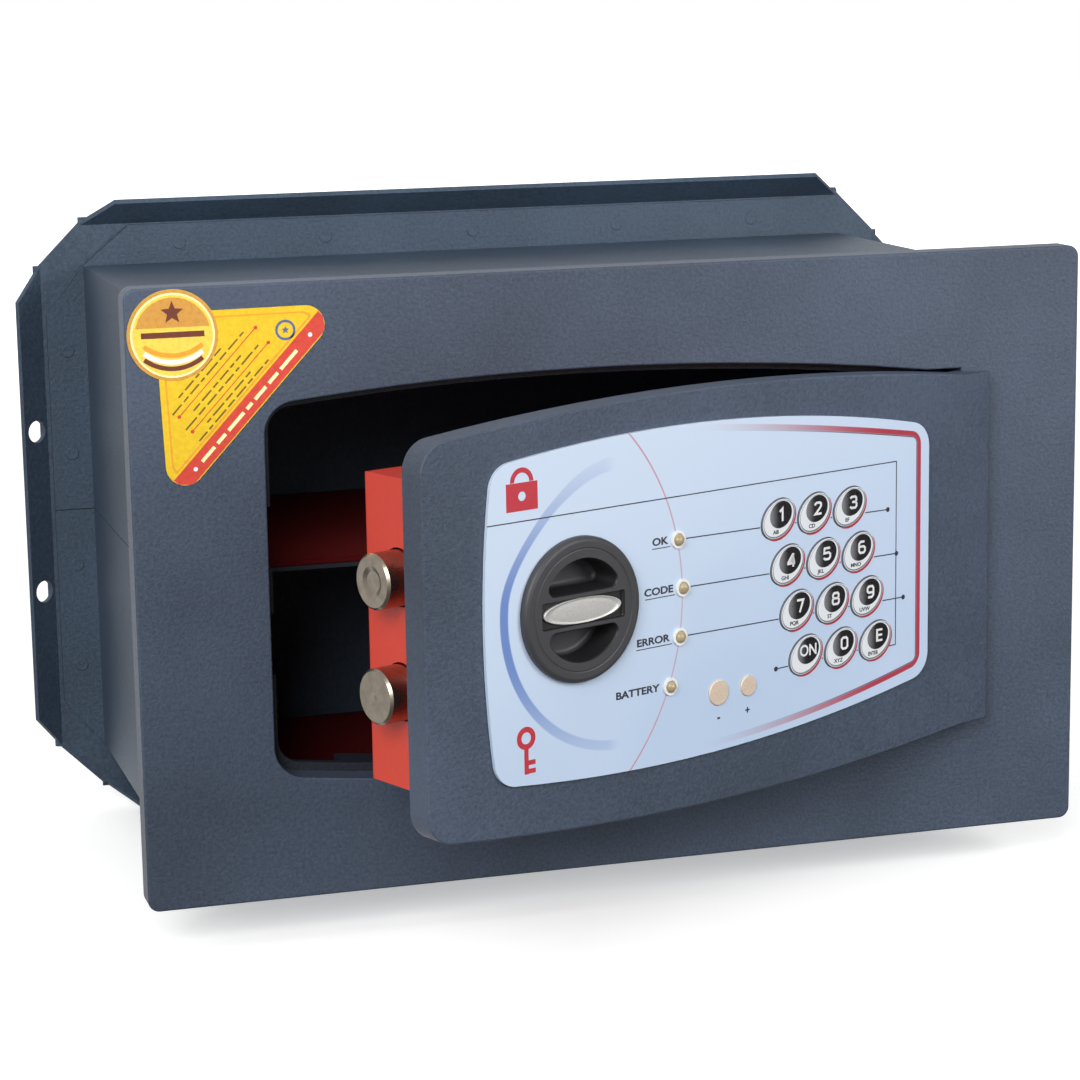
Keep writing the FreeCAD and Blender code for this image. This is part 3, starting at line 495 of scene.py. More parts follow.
# steel that shows only through the opening is coloured darker, as painted shade, set to
# how dark it looks in there
INSIDE_PAINTED_SHADE = powder_coat("inside_painted_shade", rgb(24, 30, 40), grain=1.1, rough=0.6)
for name in ("door_stop_frame", "shelf", "shelf_rail_left", "shelf_rail_right"):
    coat(name, INSIDE_PAINTED_SHADE)

INK_BLACK = ink("ink_black", rgb(44, 46, 56))
INK_KEY_BLACK = key_ink("ink_key_black")
INK_WHITE = ink("ink_white", rgb(236, 236, 236), 0.35)
INK_KEY_EDGE = ink("ink_key_edge", rgb(112, 114, 120), 0.35)
INK_SIGN = ink("ink_sign", rgb(214, 214, 216), 0.35)
INK_RED = ink("ink_red", rgb(178, 46, 58))
INK_STICKER_RED = ink("ink_sticker_red", rgb(206, 72, 58), 0.35)
INK_ORANGE = ink("ink_orange", rgb(228, 158, 52), 0.35)
INK_GOLD = ink("ink_gold", rgb(206, 150, 70), 0.3)
INK_BROWN = ink("ink_brown", rgb(110, 58, 44), 0.35)
INK_SHADE = ink("ink_shade", rgb(120, 92, 40), 0.4)
INK_BLUE = ink("ink_blue", rgb(84, 104, 150), 0.35)
INK_YELLOW = ink("ink_yellow", rgb(240, 206, 84), 0.3)
INK_PALE_GOLD = ink("ink_pale_gold", rgb(250, 236, 176), 0.3)


# ---- meshes ------------------------
def show(thing):
    bpy.context.scene.collection.objects.link(thing)
    return thing


def closed_mesh(bm, name, materials):
    bmesh.ops.recalc_face_normals(bm, faces=bm.faces)
    mesh = bpy.data.meshes.new(name)
    bm.to_mesh(mesh)
    bm.free()
    for material in materials:
        mesh.materials.append(material)
    return mesh


def skin(bm, rings, material=0):
    """Smooth faces between each ring of points and the next."""
    for first, second in zip(rings, rings[1:]):
        for i in range(len(first)):
            face = bm.faces.new((first[i - 1], first[i], second[i], second[i - 1]))
            face.material_index = material
            face.smooth = True


def place_piece(name, mesh, body, door=False):
    """Adds a mesh as a piece. Door pieces are made as if the door were shut."""
    if door:
        mesh.transform(TO_DOOR)
    piece = show(bpy.data.objects.new(name, mesh))
    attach(piece, body)
    return piece


def oval(x, z, half_long, half_short, tilt, count=48):
    cos, sin = math.cos(tilt), math.sin(tilt)
    points = []
    for step in range(count):
        angle = 2 * math.pi * step / count
        along, across = half_long * math.cos(angle), half_short * math.sin(angle)
        points.append((x + along * cos - across * sin, z + along * sin + across * cos))
    return points


def arc(x, z, radius, start, end, count=24):
    angles = [math.radians(start + (end - start) * i / count) for i in range(count + 1)]
    return [(x + radius * math.cos(angle), z + radius * math.sin(angle)) for angle in angles]


def scaled(points, x, z, size):
    return [(x + size * across, z + size * up) for across, up in points]


# ---- flat printed shapes ------------------------
class Print:
    """Thin closed solids of ink in an XZ plane, each with its own material. Positions are
    in millimetres; y is that of the surface printed on, and ink stands towards -Y."""

    def __init__(self, name, surface_y):
        self.name = name
        self.bm = bmesh.new()
        self.materials = []
        self.surface = surface_y

    def material(self, material):
        if material not in self.materials:
            self.materials.append(material)
        return self.materials.index(material)

    def shape(self, outlines, material, layer=0):
        """outlines: an outer ring of points and any holes, each wound either way."""
        back = self.surface - layer * PRINT_T
        front = back - PRINT_T
        index = self.material(material)
        loops = []
        for outline in outlines:
            ring = [self.bm.verts.new((x * MM, front, z * MM)) for x, z in outline]
            rear = [self.bm.verts.new((x * MM, back, z * MM)) for x, z in outline]
            loops.append((ring, rear))
        edges = []
        for ring, _ in loops:
            edges += [self.bm.edges.new((ring[i - 1], ring[i])) for i in range(len(ring))]
        filled = bmesh.ops.triangle_fill(self.bm, edges=edges, use_beauty=True)["geom"]
        faces = [g for g in filled if isinstance(g, bmesh.types.BMFace)]
        twin = {a: b for ring, rear in loops for a, b in zip(ring, rear)}
        rears = [self.bm.faces.new([twin[v] for v in reversed(f.verts)]) for f in faces]
        sides = [self.bm.faces.new((ring[i - 1], ring[i], rear[i], rear[i - 1]))
                 for ring, rear in loops for i in range(len(ring))]
        for face in faces + rears + sides:
            face.material_index = index

    def disc(self, x, z, radius, material, layer=0, squash=1.0, tilt=0.0, count=48):
        self.shape([oval(x, z, radius, radius * squash, tilt, count)], material, layer)

    def line(self, points, width, material, layer=0):
        """A ribbon along an open line of points, mitred at its corners."""
        left = []
        right = []
        for i, (x, z) in enumerate(points):
            before = Vector(points[max(i - 1, 0)])
            after = Vector(points[min(i + 1, len(points) - 1)])
            here = Vector((x, z))
            into = (here - before).normalized() if i else (after - here).normalized()
            out = (after - here).normalized() if i < len(points) - 1 else into
            normal = Vector((-(into + out).y, (into + out).x)).normalized()
            reach = width / 2 / max(0.3, normal.dot(Vector((-into.y, into.x))))
            left.append(tuple(here + normal * reach))
            right.append(tuple(here - normal * reach))
        self.shape([left + right[::-1]], material, layer)

    def text(self, words, x, z, size, material, layer=0, bold=0.0, narrow=1.0):
        """Words centred on x, z; size is the height of a capital letter."""
        curve = bpy.data.curves.new("words", "FONT")
        curve.body = words
        curve.size = size / 0.7 * MM
        curve.align_x = "CENTER"
        curve.align_y = "CENTER"
        curve.offset = bold * MM
        curve.extrude = PRINT_T / 2
        carrier = show(bpy.data.objects.new("words", curve))
        mesh = bpy.data.meshes.new_from_object(carrier)
        y = self.surface - (layer + 0.5) * PRINT_T
        place = (Matrix.Translation((x * MM, y, z * MM)) @ Matrix.Rotation(math.pi / 2, 4, "X")
                 @ Matrix.Diagonal((narrow, 1, 1, 1)))
        mesh.transform(place)
        first = len(self.bm.faces)
        self.bm.from_mesh(mesh)
        self.bm.faces.ensure_lookup_table()
        index = self.material(material)
        for face in self.bm.faces[first:]:
            face.material_index = index
        bpy.data.objects.remove(carrier)
        bpy.data.curves.remove(curve)
        bpy.data.meshes.remove(mesh)

    def finish(self, body, door=True):
        place_piece(self.name, closed_mesh(self.bm, self.name, self.materials), body, door)


# ---- label graphics ------------------------
LED_PLACES = ((-22.8, 22.3), (-21.0, 6.1), (-22.4, -10.0), (-26.7, -26.0))
LED_WORDS = ("OK", "CODE", "ERROR", "BATTERY")
ROW_LINES = (((-19.2, 22.2), (72.6, 20.1)), ((-17.4, 6.0), (76.9, 4.2)),
             ((-18.8, -10.1), (80.3, -11.7)), ((20.3, -27.7), (60.1, -27.2)))
KEY_FIRST = (21.2, 23.5)
KEY_PITCH = (16.45, 16.1)
KEY_STAGGER = 4.15
KEY_TILT = math.radians(33)
KEY_HALF = (7.9, 6.1)


def key_place(number):
    row, column = divmod(number, 3)
    return (KEY_FIRST[0] + column * KEY_PITCH[0] + row * KEY_STAGGER,
            KEY_FIRST[1] - row * KEY_PITCH[1])


def key_gaps(start, end, row):
    """Splits a row's line where its keys interrupt it."""
    slope = (end[1] - start[1]) / (end[0] - start[0])

    def on_line(x):
        return x, start[1] + (x - start[0]) * slope

    cuts = [start[0]]
    for column in range(3):
        x, z = key_place(3 * row + column)
        reach = KEY_HALF[0] if abs(on_line(x)[1] - z) < 3.0 else 7.0
        cuts += [x - reach, x + reach]
    cuts.append(end[0])
    for left, right in zip(cuts[::2], cuts[1::2]):
        if right - left > 0.4:
            yield on_line(left), on_line(right)


def label_graphics():
    sheet = Print("label_print", LABEL_FACE)
    for row, (start, end) in enumerate(ROW_LINES):
        for piece in key_gaps(start, end, row):
            sheet.line(piece, 0.38, INK_BLACK)
        dot = start if row == 3 else end
        sheet.disc(dot[0], dot[1], 0.85, INK_BLACK, 1, count=20)
    sheet.line([(-100.3, 36.5), (76.7, 36.4), (76.7, -28.0), (73.6, -28.0)], 0.36, INK_BLACK)
    for (x, z), word in zip(LED_PLACES, LED_WORDS):
        wide = 2.5 * len(word) + 0.4
        middle = x - 4.9 - wide / 2
        sheet.text(word, middle, z + 0.25, 2.35, INK_BLACK, bold=0.1, narrow=1.32)
        if word != LED_WORDS[-1]:
            sheet.line([(middle - wide / 2 - 0.6, z - 1.85), (middle + wide / 2 + 1.7, z - 1.85)],
                       0.3, INK_BLACK)
    sheet.text("-", -5.5, -39.9, 3.0, INK_BLACK, bold=0.12)
    sheet.text("+", 7.4, -39.8, 2.6, INK_BLACK, bold=0.10)
    lock_mark(sheet, -86.5, 46.0, 1.35)
    key_mark(sheet, -86.5, -37.0, 1.2)
    sheet.finish("door")


def lock_mark(sheet, *place):
    """A plain padlock sign, at x, z and a size."""
    body = [(-4.6, -4.6), (4.6, -4.6), (4.6, 2.0), (-4.6, 2.0)]
    keyhole = oval(0, -1.2, 1.1, 1.1, 0, 20)
    shackle = arc(0, 2.1, 3.4, 0, 180) + arc(0, 2.1, 2.2, 180, 0)
    sheet.shape([scaled(body, *place), scaled(keyhole, *place)], INK_RED)
    sheet.shape([scaled(shackle, *place)], INK_RED)


def key_mark(sheet, *place):
    """A plain key sign, at x, z and a size."""
    bow = [oval(0, 3.4, 3.1, 3.1, 0, 32), oval(0, 3.4, 1.6, 1.6, 0, 24)]
    sheet.shape([scaled(ring, *place) for ring in bow], INK_RED)
    sheet.shape([scaled([(-0.7, 0.4), (-0.7, -6.4), (0.7, -6.4), (0.7, 0.4)], *place)], INK_RED)
    for low in (-4.0, -6.3):
        bit = [(0.7, low), (3.0, low), (3.0, low + 1.3), (0.7, low + 1.3)]
        sheet.shape([scaled(bit, *place)], INK_RED)


KEY_LETTERS = {"1": "AB", "2": "CD", "3": "EF", "4": "GHI", "5": "JKL", "6": "MNO",
               "7": "PQR", "8": "ST", "9": "UVW", "0": "XYZ", "enter": "ENTER"}
KEY_SIGNS = {"on": "ON", "enter": "E"}
SIX = ((1.1, 1.9), (-0.6, 1.9), (-1.3, 1.2), (-1.35, -1.2), (-0.8, -1.9), (0.8, -1.9),
       (1.35, -1.3), (1.35, -0.3), (0.8, 0.25), (-0.9, 0.25))
DIGIT_STROKES = {
    "1": (((-1.1, 1.0), (0.15, 1.95), (0.16, -2.3)),),
    "2": (((-1.35, 1.1), (-1.2, 1.6), (-0.7, 1.9), (0.7, 1.9), (1.25, 1.5), (1.3, 0.8),
           (0.9, 0.2), (-1.2, -1.9), (1.5, -1.9)),),
    "3": (((-1.35, 1.4), (-0.8, 1.9), (0.8, 1.9), (1.3, 1.4), (1.3, 0.6), (0.8, 0.1),
           (-0.5, 0.1)),
          ((0.5, 0.1), (0.9, 0.05), (1.4, -0.5), (1.4, -1.4), (0.9, -1.9), (-0.9, -1.9),
           (-1.45, -1.4))),
    "4": (((0.8, -2.3), (0.8, 2.3)),
          ((0.7, 2.1), (-1.4, -0.7), (-1.4, -1.1), (1.6, -1.1))),
    "5": (((1.35, 1.9), (-1.1, 1.9), (-1.25, 0.2), (0.7, 0.35), (1.4, -0.2), (1.4, -1.3),
           (0.8, -1.9), (-0.8, -1.9), (-1.45, -1.4)),),
    "6": (SIX,),
    "7": (((-1.45, 1.9), (1.3, 1.9), (-0.3, -2.3)),),
    "8": (((-0.8, 0.1), (-1.25, 0.6), (-1.25, 1.4), (-0.8, 1.9), (0.8, 1.9), (1.25, 1.4),
           (1.25, 0.6), (0.8, 0.1)),
          ((-0.95, 0.1), (-1.4, -0.4), (-1.4, -1.4), (-0.9, -1.9), (0.9, -1.9), (1.4, -1.4),
           (1.4, -0.4), (0.9, 0.1), (-0.85, 0.1))),
    "9": (tuple((-x, -z) for x, z in SIX),),
    "0": (((-0.7, 1.9), (-1.3, 1.3), (-1.3, -1.3), (-0.7, -1.9), (0.7, -1.9), (1.3, -1.3),
           (1.3, 1.3), (0.7, 1.9), (-0.66, 1.9)),),
}


def key_graphics(number, name):
    """Black disc with its sign, small letters and a grey outline."""
    x, z = key_place(number)
    cap = Print("key_print_" + name, LABEL_FACE - KEY_PROUD)
    edge = oval(x, z, KEY_HALF[0] - 0.40, KEY_HALF[1] - 0.40, KEY_TILT, 64)
    inner = oval(x - 0.12, z + 0.16, KEY_HALF[0] - 0.72, KEY_HALF[1] - 0.72, KEY_TILT, 64)
    cap.shape([edge, inner], INK_KEY_EDGE)
    cap.disc(x + 0.8, z + 1.4, 5.1, INK_KEY_BLACK, squash=0.86, tilt=math.radians(28))
    for stroke in DIGIT_STROKES.get(name, ()):
        cap.line([(x + 1.3 + across * 1.05, z + 1.4 + up) for across, up in stroke], 0.8,
                 INK_SIGN, 1)
    if name in KEY_SIGNS:
        sign = KEY_SIGNS[name]
        single = len(sign) == 1
        cap.text(sign, x + (1.3 if single else 0.85), z + 1.4, 4.4 if single else 3.8, INK_SIGN,
                 1, bold=0.10, narrow=1.12 if single else 0.92)
    letters = KEY_LETTERS.get(name)
    if letters:
        cap.text(letters, x - 1.5, z - 4.35, 1.3, INK_BLACK, bold=0.05,
                 narrow=1.1 if len(letters) < 5 else 0.85)
    cap.finish("button_" + name)


def key_crescents():
    """Red crescents printed on the label at each key's lower right."""
    steps = 24
    sheet = Print("key_crescents", LABEL_FACE)
    for number in range(len(KEY_NAMES)):
        x, z = key_place(number)
        outer = []
        inner = []
        for step in range(steps + 1):
            angle = math.radians(-128 + 150 * step / steps)
            swell = 0.95 * math.sin(math.pi * step / steps) ** 0.7
            for ring, extra in ((outer, 0.28 + swell), (inner, 0.27)):
                along = (KEY_HALF[0] + extra) * math.cos(angle - 0.35)
                across = (KEY_HALF[1] + extra) * math.sin(angle - 0.35)
                ring.append((x + along * math.cos(KEY_TILT) - across * math.sin(KEY_TILT),
                             z + along * math.sin(KEY_TILT) + across * math.cos(KEY_TILT)))
        sheet.shape([outer + inner[1:-1][::-1]], INK_RED, 1)
    sheet.finish("door")


# ---- corner sticker ------------------------
STICKER_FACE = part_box("front_sticker")[0].y
STICKER_DISC = (-154.3, 89.4)
STICKER_CORNERS = ((-157.6, 30.4), (-160.2, 96.8), (-95.2, 97.2))
STICKER_FILLET = 6.5


def rounded_corners(points, radius, steps=8):
    """A convex outline with each corner replaced by an arc that touches both sides."""
    outline = []
    for i, point in enumerate(points):
        here = Vector(point)
        back = (Vector(points[i - 1]) - here).normalized()
        ahead = (Vector(points[(i + 1) % len(points)]) - here).normalized()
        half = back.angle(ahead) / 2
        middle = here + (back + ahead).normalized() * (radius / math.sin(half))
        start = here + back * (radius / math.tan(half)) - middle
        end = here + ahead * (radius / math.tan(half)) - middle
        for step in range(steps + 1):
            spoke = start.lerp(end, step / steps).normalized() * radius
            outline.append(tuple(middle + spoke))
    return outline


def cut_off(outline, point, normal, keep_low, keep_high):
    """The part of a convex outline between two distances from a line."""
    for limit, sign in ((keep_low, 1), (keep_high, -1)):
        kept = []
        for i, here in enumerate(outline):
            before = outline[i - 1]
            a = sign * ((Vector(before) - point).dot(normal) - limit)
            b = sign * ((Vector(here) - point).dot(normal) - limit)
            if (a < 0) != (b < 0):
                kept.append(tuple(Vector(before).lerp(Vector(here), a / (a - b))))
            if b >= 0:
                kept.append(here)
        outline = kept
    return outline


def star(x, z, outer, inner):
    """A five-pointed star."""
    points = []
    for step in range(10):
        reach = inner if step % 2 else outer
        angle = math.pi / 2 + math.pi * step / 5
        points.append((x + reach * math.cos(angle), z + reach * math.sin(angle)))
    return points


def sticker_graphics():
    """Plain stand-ins for the printed corner sticker: a red band with dots, two ruled
    lines, bars in place of small print, a ring, and a gold disc with a star."""
    sheet = Print("sticker_print", STICKER_FACE)
    low, corner, right = (Vector(point) for point in STICKER_CORNERS)
    along = (right - low).normalized()
    inward = Vector((-along.y, along.x))
    outline = rounded_corners(STICKER_CORNERS, STICKER_FILLET)

    def inside(side, low_end, right_end, fillet):
        corners = (low + Vector((side, low_end)), corner + Vector((side, -side)),
                   right + Vector((-right_end, -side)))
        return rounded_corners([tuple(point) for point in corners], fillet)

    border = inside(1.9, 5.0, 5.4, STICKER_FILLET - 1.7)
    border_hole = inside(2.4, 6.3, 6.8, STICKER_FILLET - 2.1)
    sheet.shape([cut_off(border, low, inward, 7.0, 90), cut_off(border_hole, low, inward, 7.6, 89)],
                INK_ORANGE)
    sheet.shape([cut_off(outline, low, inward, 0.35, 6.3)], INK_STICKER_RED)
    length = (right - low).length

    def spot(share, away):
        return tuple(low + along * (length * share) + inward * away)

    for share in (0.185, 0.82):
        sheet.disc(*spot(share, 3.2), 0.75, INK_WHITE, 1, count=20)
    step = 0.22
    for width in (0.07, 0.045, 0.085, 0.03, 0.06, 0.05, 0.09, 0.04, 0.06):
        if step + width > 0.79:
            break
        sheet.line([spot(step, 3.2), spot(step + width, 3.2)], 1.2, INK_PALE_GOLD, 1)
        step += width + 0.016
    for away, start, end in ((12.2, 0.28, 0.70), (18.7, 0.29, 0.71)):
        sheet.line([spot(start, away), spot(end, away)], 0.3, INK_STICKER_RED)
        for share in (start, end):
            sheet.disc(*spot(share, away), 0.62, INK_STICKER_RED, 1, count=16)
    rows = ((8.4, 0.27, 0.66), (10.4, 0.34, 0.59), (14.2, 0.27, 0.67), (16.4, 0.34, 0.60),
            (20.8, 0.28, 0.67), (23.0, 0.34, 0.58))
    widths = (0.045, 0.02, 0.06, 0.035, 0.05, 0.025)
    for number, (away, start, end) in enumerate(rows):
        place = start
        word = number
        while place < end:
            stop = min(end, place + widths[word % len(widths)])
            sheet.line([spot(place, away), spot(stop, away)], 0.55, INK_SHADE)
            place = stop + 0.012
            word += 1
    ring_x, ring_z = -117.0, 89.3
    sheet.shape([oval(ring_x, ring_z, 3.4, 3.4, 0, 32), oval(ring_x, ring_z, 2.6, 2.6, 0, 32)],
                INK_BLUE)
    sheet.shape([star(ring_x, ring_z, 1.3, 0.6)], INK_BLUE)

    x, z = STICKER_DISC
    sheet.disc(x, z, 14.9, INK_GOLD, 1, count=72)
    sheet.disc(x, z, 13.9, INK_PALE_GOLD, 2, count=72)
    sheet.disc(x, z, 13.2, INK_YELLOW, 3, count=72)
    sheet.shape([arc(x, z, 12.4, 12, 168, 36)], INK_GOLD, 4)
    sheet.shape([star(x, z + 7.4, 3.9, 1.7)], INK_BROWN, 5)
    sheet.line([(x - 10.4, z + 0.2), (x + 10.4, z + 0.2)], 1.9, INK_BROWN, 4)
    for drop, colour in ((0.0, INK_ORANGE), (2.2, INK_WHITE), (4.3, INK_BROWN)):
        sheet.line(arc(x, z + 9.0 - drop, 15.6, 232, 308), 1.5, colour, 4)
    sheet.finish("safe_body", door=False)


# ---- moulded knob ------------------------
def pocket_outline(side, radius, flat, corner):
    """D-shaped pocket above or below the finger bar, with round corners. Points run
    evenly enough to be inset along their normals."""
    corner_z = flat + corner
    corner_x = math.sqrt((radius - corner) ** 2 - corner_z ** 2)
    lean = math.degrees(math.atan2(corner_z, corner_x))
    points = arc(0, 0, radius, lean, 180 - lean, 56)
    points += arc(-corner_x, corner_z, corner, 180 - lean, 270, 12)[1:]
    points += arc(corner_x, corner_z, corner, 270, 360 + lean, 12)[:-1]
    return [(x, side * z) for x, z in points]


def inset(points, amount):
    """Moves each point of a smooth outline inwards, towards the outline's middle side."""
    area = sum(a[0] * b[1] - b[0] * a[1] for a, b in zip(points, points[1:] + points[:1]))
    turn = 1 if area > 0 else -1
    moved = []
    for i, (x, z) in enumerate(points):
        before = Vector(points[i - 1])
        after = Vector(points[(i + 1) % len(points)])
        way = (after - before).normalized()
        moved.append((x - way.y * turn * amount, z + way.x * turn * amount))
    return moved


def knob_ring(bm, points, depth):
    """Points around the knob's axis, at a depth in mm behind the knob's front."""
    return [bm.verts.new((KNOB_CENTRE.x + x * MM, KNOB_FRONT + depth * MM, KNOB_CENTRE.z + z * MM))
            for x, z in points]


def knob_moulding():
    """One-piece knob: bevelled rim, two round-edged finger pockets and a badge recess."""
    bm = bmesh.new()

    def ring(points, depth):
        return knob_ring(bm, points, depth)

    def lid(loops, material=0):
        edges = []
        for loop in loops:
            for i in range(len(loop)):
                edges.append(bm.edges.get((loop[i - 1], loop[i])) or
                             bm.edges.new((loop[i - 1], loop[i])))
        made = bmesh.ops.triangle_fill(bm, edges=edges, use_beauty=True)["geom"]
        for face in made:
            if isinstance(face, bmesh.types.BMFace):
                face.material_index = material

    def circle(radius):
        return oval(0, 0, radius, radius, 0, 120)

    outer = [(22.0, 0.0), (22.6, 0.12), (23.15, 0.5), (23.48, 1.0), (23.6, 1.5), (23.6, 2.7),
             (17.9, 2.7), (17.9, 13.4)]
    outer_rings = [ring(circle(radius), depth) for radius, depth in outer]
    skin(bm, outer_rings)
    lid([outer_rings[-1]])
    # a shallow groove parts the flat rim from the middle
    groove = [(20.2, 0.0), (20.05, 0.28), (19.55, 0.28), (19.4, 0.0)]
    groove_rings = [ring(circle(radius), depth) for radius, depth in groove]
    skin(bm, groove_rings)
    lid([outer_rings[0], groove_rings[0]])
    holes = []
    fillet = ((0.0, 0.0), (0.12, 0.15), (0.35, 0.42), (0.5, 0.8))
    floor = ((0.75, 10.2), (1.1, 10.9), (1.7, 11.3), (2.4, 11.4))
    for side in (1, -1):
        outline = pocket_outline(side, 16.9, 5.6, 2.8)
        rings = [ring(inset(outline, amount), depth) for amount, depth in fillet + floor]
        skin(bm, rings[:5], 1)
        skin(bm, rings[4:])
        lid([rings[-1]])
        holes.append(rings[0])
    recess = [(16.9, 4.45), (-16.9, 4.45), (-16.9, -4.45), (16.9, -4.45)]
    outline = rounded_corners(recess, 0.7, 4)
    walls = ((0.0, 0.0), (0.1, 0.2), (0.15, 1.6))
    rings = [ring(inset(outline, amount), depth) for amount, depth in walls]
    skin(bm, rings, 1)
    lid([rings[-1]], 1)
    holes.append(rings[0])
    lid([groove_rings[-1]] + holes)
    materials = (slot_materials["knob_plastic"], moulded_plastic("knob_shade", rgb(24, 24, 26)))
    mesh = closed_mesh(bm, "knob_moulding", materials)
    knob = place_piece("knob_moulding", mesh, "knob", door=True)
    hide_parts("knob_dial", "knob_grip")


def knob_plate():
    """Oval badge with a raised edge and a slightly domed, blank middle."""
    bm = bmesh.new()
    half_long, half_short = 15.8, 4.1
    profile = ((1.0, 1.6), (1.0, 0.62), (0.985, 0.5), (0.95, 0.5), (0.93, 0.66), (0.8, 0.60),
               (0.5, 0.54), (0.2, 0.52))
    rings = []
    for share, depth in profile:
        edge = half_short - half_long * (1 - share) * 0.26
        short = edge if share > 0.9 else half_short * share
        rings.append(knob_ring(bm, oval(0, 0, half_long * share, short, 0, 72), depth))
    skin(bm, rings)
    bm.faces.new(rings[0])
    bm.faces.new(rings[-1])
    mesh = closed_mesh(bm, "knob_plate", [slot_materials["badge_metal"]])
    plate = place_piece("knob_plate", mesh, "knob", door=True)
    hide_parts("knob_badge")


# ---- felt liners, weld marks and bolt marks ------------------------
def felt_liner(name, node):
    """A sheet of felt laid on steel: soft edges, and a surface that is not quite flat."""
    low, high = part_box(node)
    cell = 4.0 * MM
    count_x = round((high.x - low.x) / cell)
    count_y = round((high.y - low.y) / cell)
    across = [low.x + (high.x - low.x) * i / count_x for i in range(count_x + 1)]
    deep = [low.y + (high.y - low.y) * j / count_y for j in range(count_y + 1)]
    bm = bmesh.new()

    def height(x, y):
        edge = min(x - low.x, high.x - x, y - low.y, high.y - y)
        droop = 0.45 * MM * math.exp(-edge / (1.2 * MM))
        wave = math.sin(61 * x + 1.3) * math.sin(83 * y + 0.4) + 0.6 * math.sin(140 * x - 97 * y)
        return high.z - 0.2 * MM - 0.12 * MM * wave - droop

    def sheet_of(level):
        return [[bm.verts.new((x, y, level(x, y))) for y in deep] for x in across]

    top = sheet_of(height)
    under = sheet_of(lambda x, y: low.z + 0.02 * MM)
    for i in range(count_x):
        for j in range(count_y):
            for grid in (top, under):
                bm.faces.new((grid[i][j], grid[i + 1][j], grid[i + 1][j + 1], grid[i][j + 1]))
    rim = ([(i, 0) for i in range(count_x)] + [(count_x, j) for j in range(count_y)]
           + [(i, count_y) for i in range(count_x, 0, -1)] + [(0, j) for j in range(count_y, 0, -1)])
    for (a, b), (c, d) in zip(rim, rim[1:] + rim[:1]):
        bm.faces.new((top[a][b], top[c][d], under[c][d], under[a][b]))
    mesh = closed_mesh(bm, name, [slot_materials["red_felt"]])
    for face in mesh.polygons:
        face.use_smooth = True
    liner = place_piece(name, mesh, "safe_body")
    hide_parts(node)
    return liner


def lathed(name, profile, places, axis, material, body, door=False):
    """Small turned shapes, one at each place; the profile is (radius, height) in mm and
    height runs along the axis."""
    bm = bmesh.new()
    turn = Vector((0, 0, 1)).rotation_difference(Vector(axis)).to_matrix()
    for place in places:
        rings = []
        for radius, height in profile:
            rings.append([bm.verts.new(Vector(place) * MM + turn @ Vector((x, z, height)) * MM)
                          for x, z in oval(0, 0, radius, radius, 0, 24)])
        skin(bm, rings)
        bm.faces.new(rings[0])
        bm.faces.new(rings[-1])
    place_piece(name, closed_mesh(bm, name, [material]), body, door)


def weld_marks():
    """Spot-weld rings, coated over, on the rear flanges of the two shells."""
    ring = ((2.6, 0.0), (2.4, 0.05), (2.1, 0.08), (1.8, 0.06), (1.4, 0.03), (0.5, 0.02))
    flange_y, side_x, end_z = -4.0, 163.0, 102.0
    places = [(side * side_x, flange_y, z) for side in (-1, 1) for z in (-62, -22, 22, 62)]
    places += [(x, flange_y, side * end_z) for side in (-1, 1) for x in (-118, -60, 0, 60, 118)]
    lathed("weld_marks", ring, places, (0, -1, 0), slot_materials["body_powder_coat"],
           "safe_body")


def bolt_marks():
    """Lathe-centre mark on the lower bolt's face."""
    low = FROM_DOOR @ centre("lock_bolt_lower")
    dark = ink("centre_mark", rgb(112, 104, 92), 0.4)
    bolt_face_x = -124.5
    place = (bolt_face_x, low.y / MM, low.z / MM)
    lathed("bolt_centre", ((0.75, 0.0), (0.7, 0.05), (0.3, 0.05)), [place], (-1, 0, 0), dark,
           "bolt_work", door=True)


def return_spring():
    """The plunger's spring, a copy of the CAD spring that moves with the door."""
    piece = bpy.data.objects.new("return_spring", nodes["plunger_spring"].data.copy())
    piece.matrix_world = nodes["plunger_spring"].matrix_world.copy()
    show(piece)
    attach(piece, "door")
    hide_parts("plunger_spring")
    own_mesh(piece)


# ---- camera, light and floor ------------------------
def add_camera():
    """Stands at the left, a little above the object, and looks slightly down."""
    eye = Vector((-0.31743, -1.16213, 0.20759))
    across = Vector((0.957779, -0.287046, -0.016268))
    forward = Vector((0.278924, 0.941421, -0.189547))
    turn = Matrix((across, (forward * -1).cross(across), forward * -1)).transposed()
    data = bpy.data.cameras.new("camera")
    data.sensor_width = 36.0
    data.lens = 100.345
    camera = show(bpy.data.objects.new("camera", data))
    camera.matrix_world = Matrix.Translation(eye) @ turn.to_4x4()
    bpy.context.scene.camera = camera


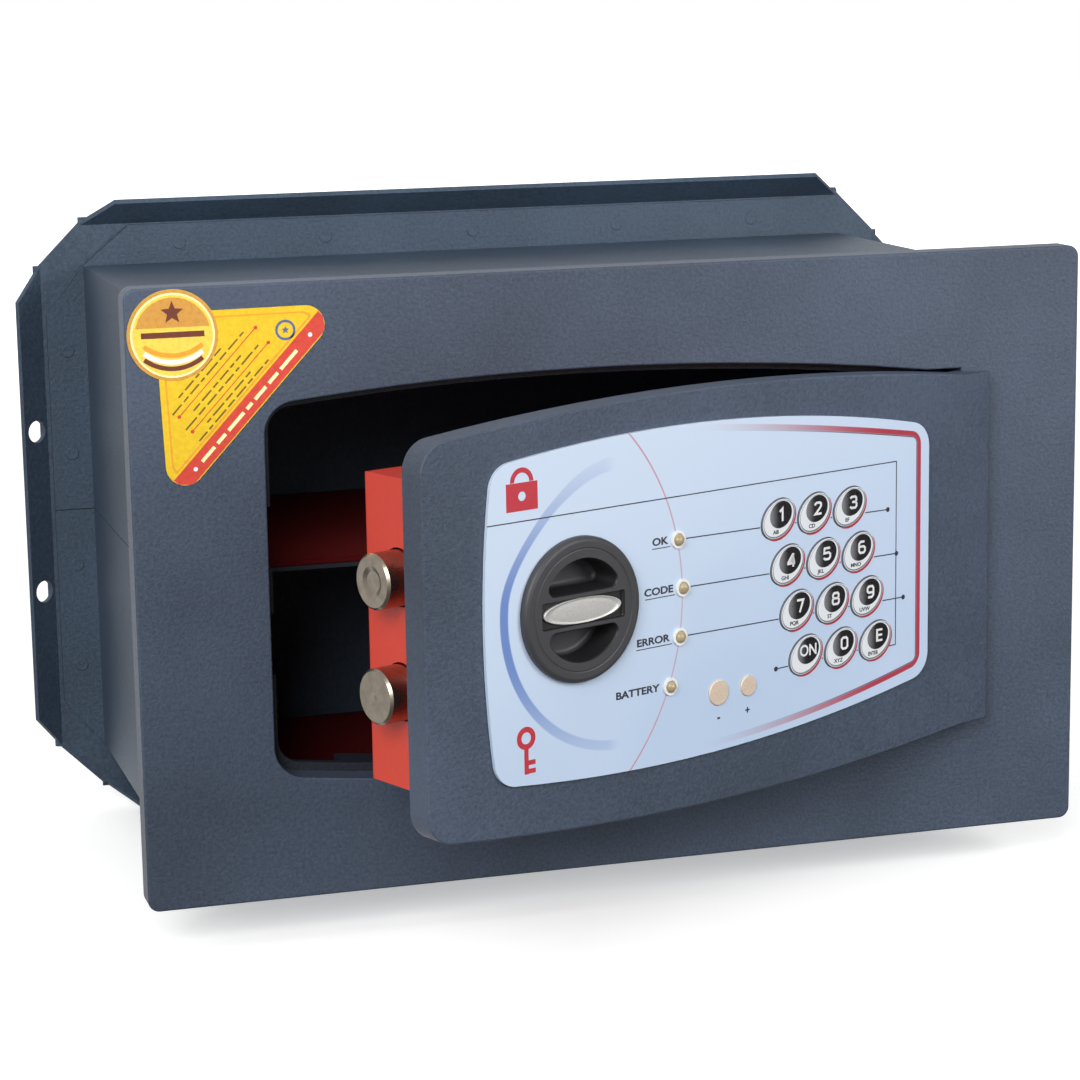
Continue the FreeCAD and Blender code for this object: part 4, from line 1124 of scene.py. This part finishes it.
def add_light(name, place, size, power):
    """A rectangular lamp aimed at the middle of the object."""
    data = bpy.data.lights.new(name, "AREA")
    data.shape = "RECTANGLE"
    data.size, data.size_y = size
    data.energy = power
    lamp = show(bpy.data.objects.new(name, data))
    aim = Vector((0.0, -0.2, 0.0)) - Vector(place)
    lamp.rotation_euler = aim.to_track_quat("-Z", "Y").to_euler()
    lamp.location = place


def add_studio():
    """A white wall behind the object, and a dimmer room on the other sides, darkest at the
    right and below, with three lamps."""
    scene = bpy.context.scene
    world = bpy.data.worlds.new("studio")
    scene.world = world
    world.use_nodes = True
    sky = Nodes(world.node_tree)
    background = sky.tree.nodes["Background"]
    background.inputs["Strength"].default_value = 1.0
    x, y, z = sky.split(sky.node("ShaderNodeTexCoord").outputs["Generated"])
    room = sky.math("MULTIPLY", sky.smooth(x, -0.6, 0.8, 0.6, 0.14),
                    sky.smooth(z, -0.5, 0.0, 0.3, 1.0))
    glow = sky.math("MAXIMUM", room, sky.smooth(y, 0.1, 0.75))
    sky.link(glow, background.inputs["Color"])
    scene.view_settings.view_transform = "Standard"
    add_light("key_light", (-1.0, -1.8, 0.95), (1.1, 1.0), 34.0)
    add_light("front_light", (0.9, -1.25, 0.45), (0.7, 0.9), 12.0)
    add_light("top_light", (0.1, -0.3, 2.0), (1.6, 1.2), 3.2)


def add_floor():
    gap = 0.5 * MM
    half_width = 6.0
    bm = bmesh.new()
    bmesh.ops.create_grid(bm, x_segments=8, y_segments=8, size=half_width)
    mesh = bpy.data.meshes.new("floor")
    bm.to_mesh(mesh)
    bm.free()
    mesh.materials.append(pale_floor("pale_floor"))
    floor = show(bpy.data.objects.new("floor", mesh))
    floor.location.z = cad_bounds[0][2] - gap
    floor.visible_diffuse = False
    floor.visible_glossy = False


add_camera()
add_studio()
add_floor()
label_graphics()
key_crescents()
for number, name in enumerate(KEY_NAMES):
    key_graphics(number, name)
sticker_graphics()
knob_moulding()
knob_plate()
weld_marks()
bolt_marks()
return_spring()
for name, node, flat, below in (("shelf_felt_sheet", "shelf_felt", SHELF_FELT_FLAT, "shelf"),
                                ("floor_felt_sheet", "floor_felt", FLOOR_FELT_FLAT,
                                 "body_shell_lower")):
    felt_liner(name, node)
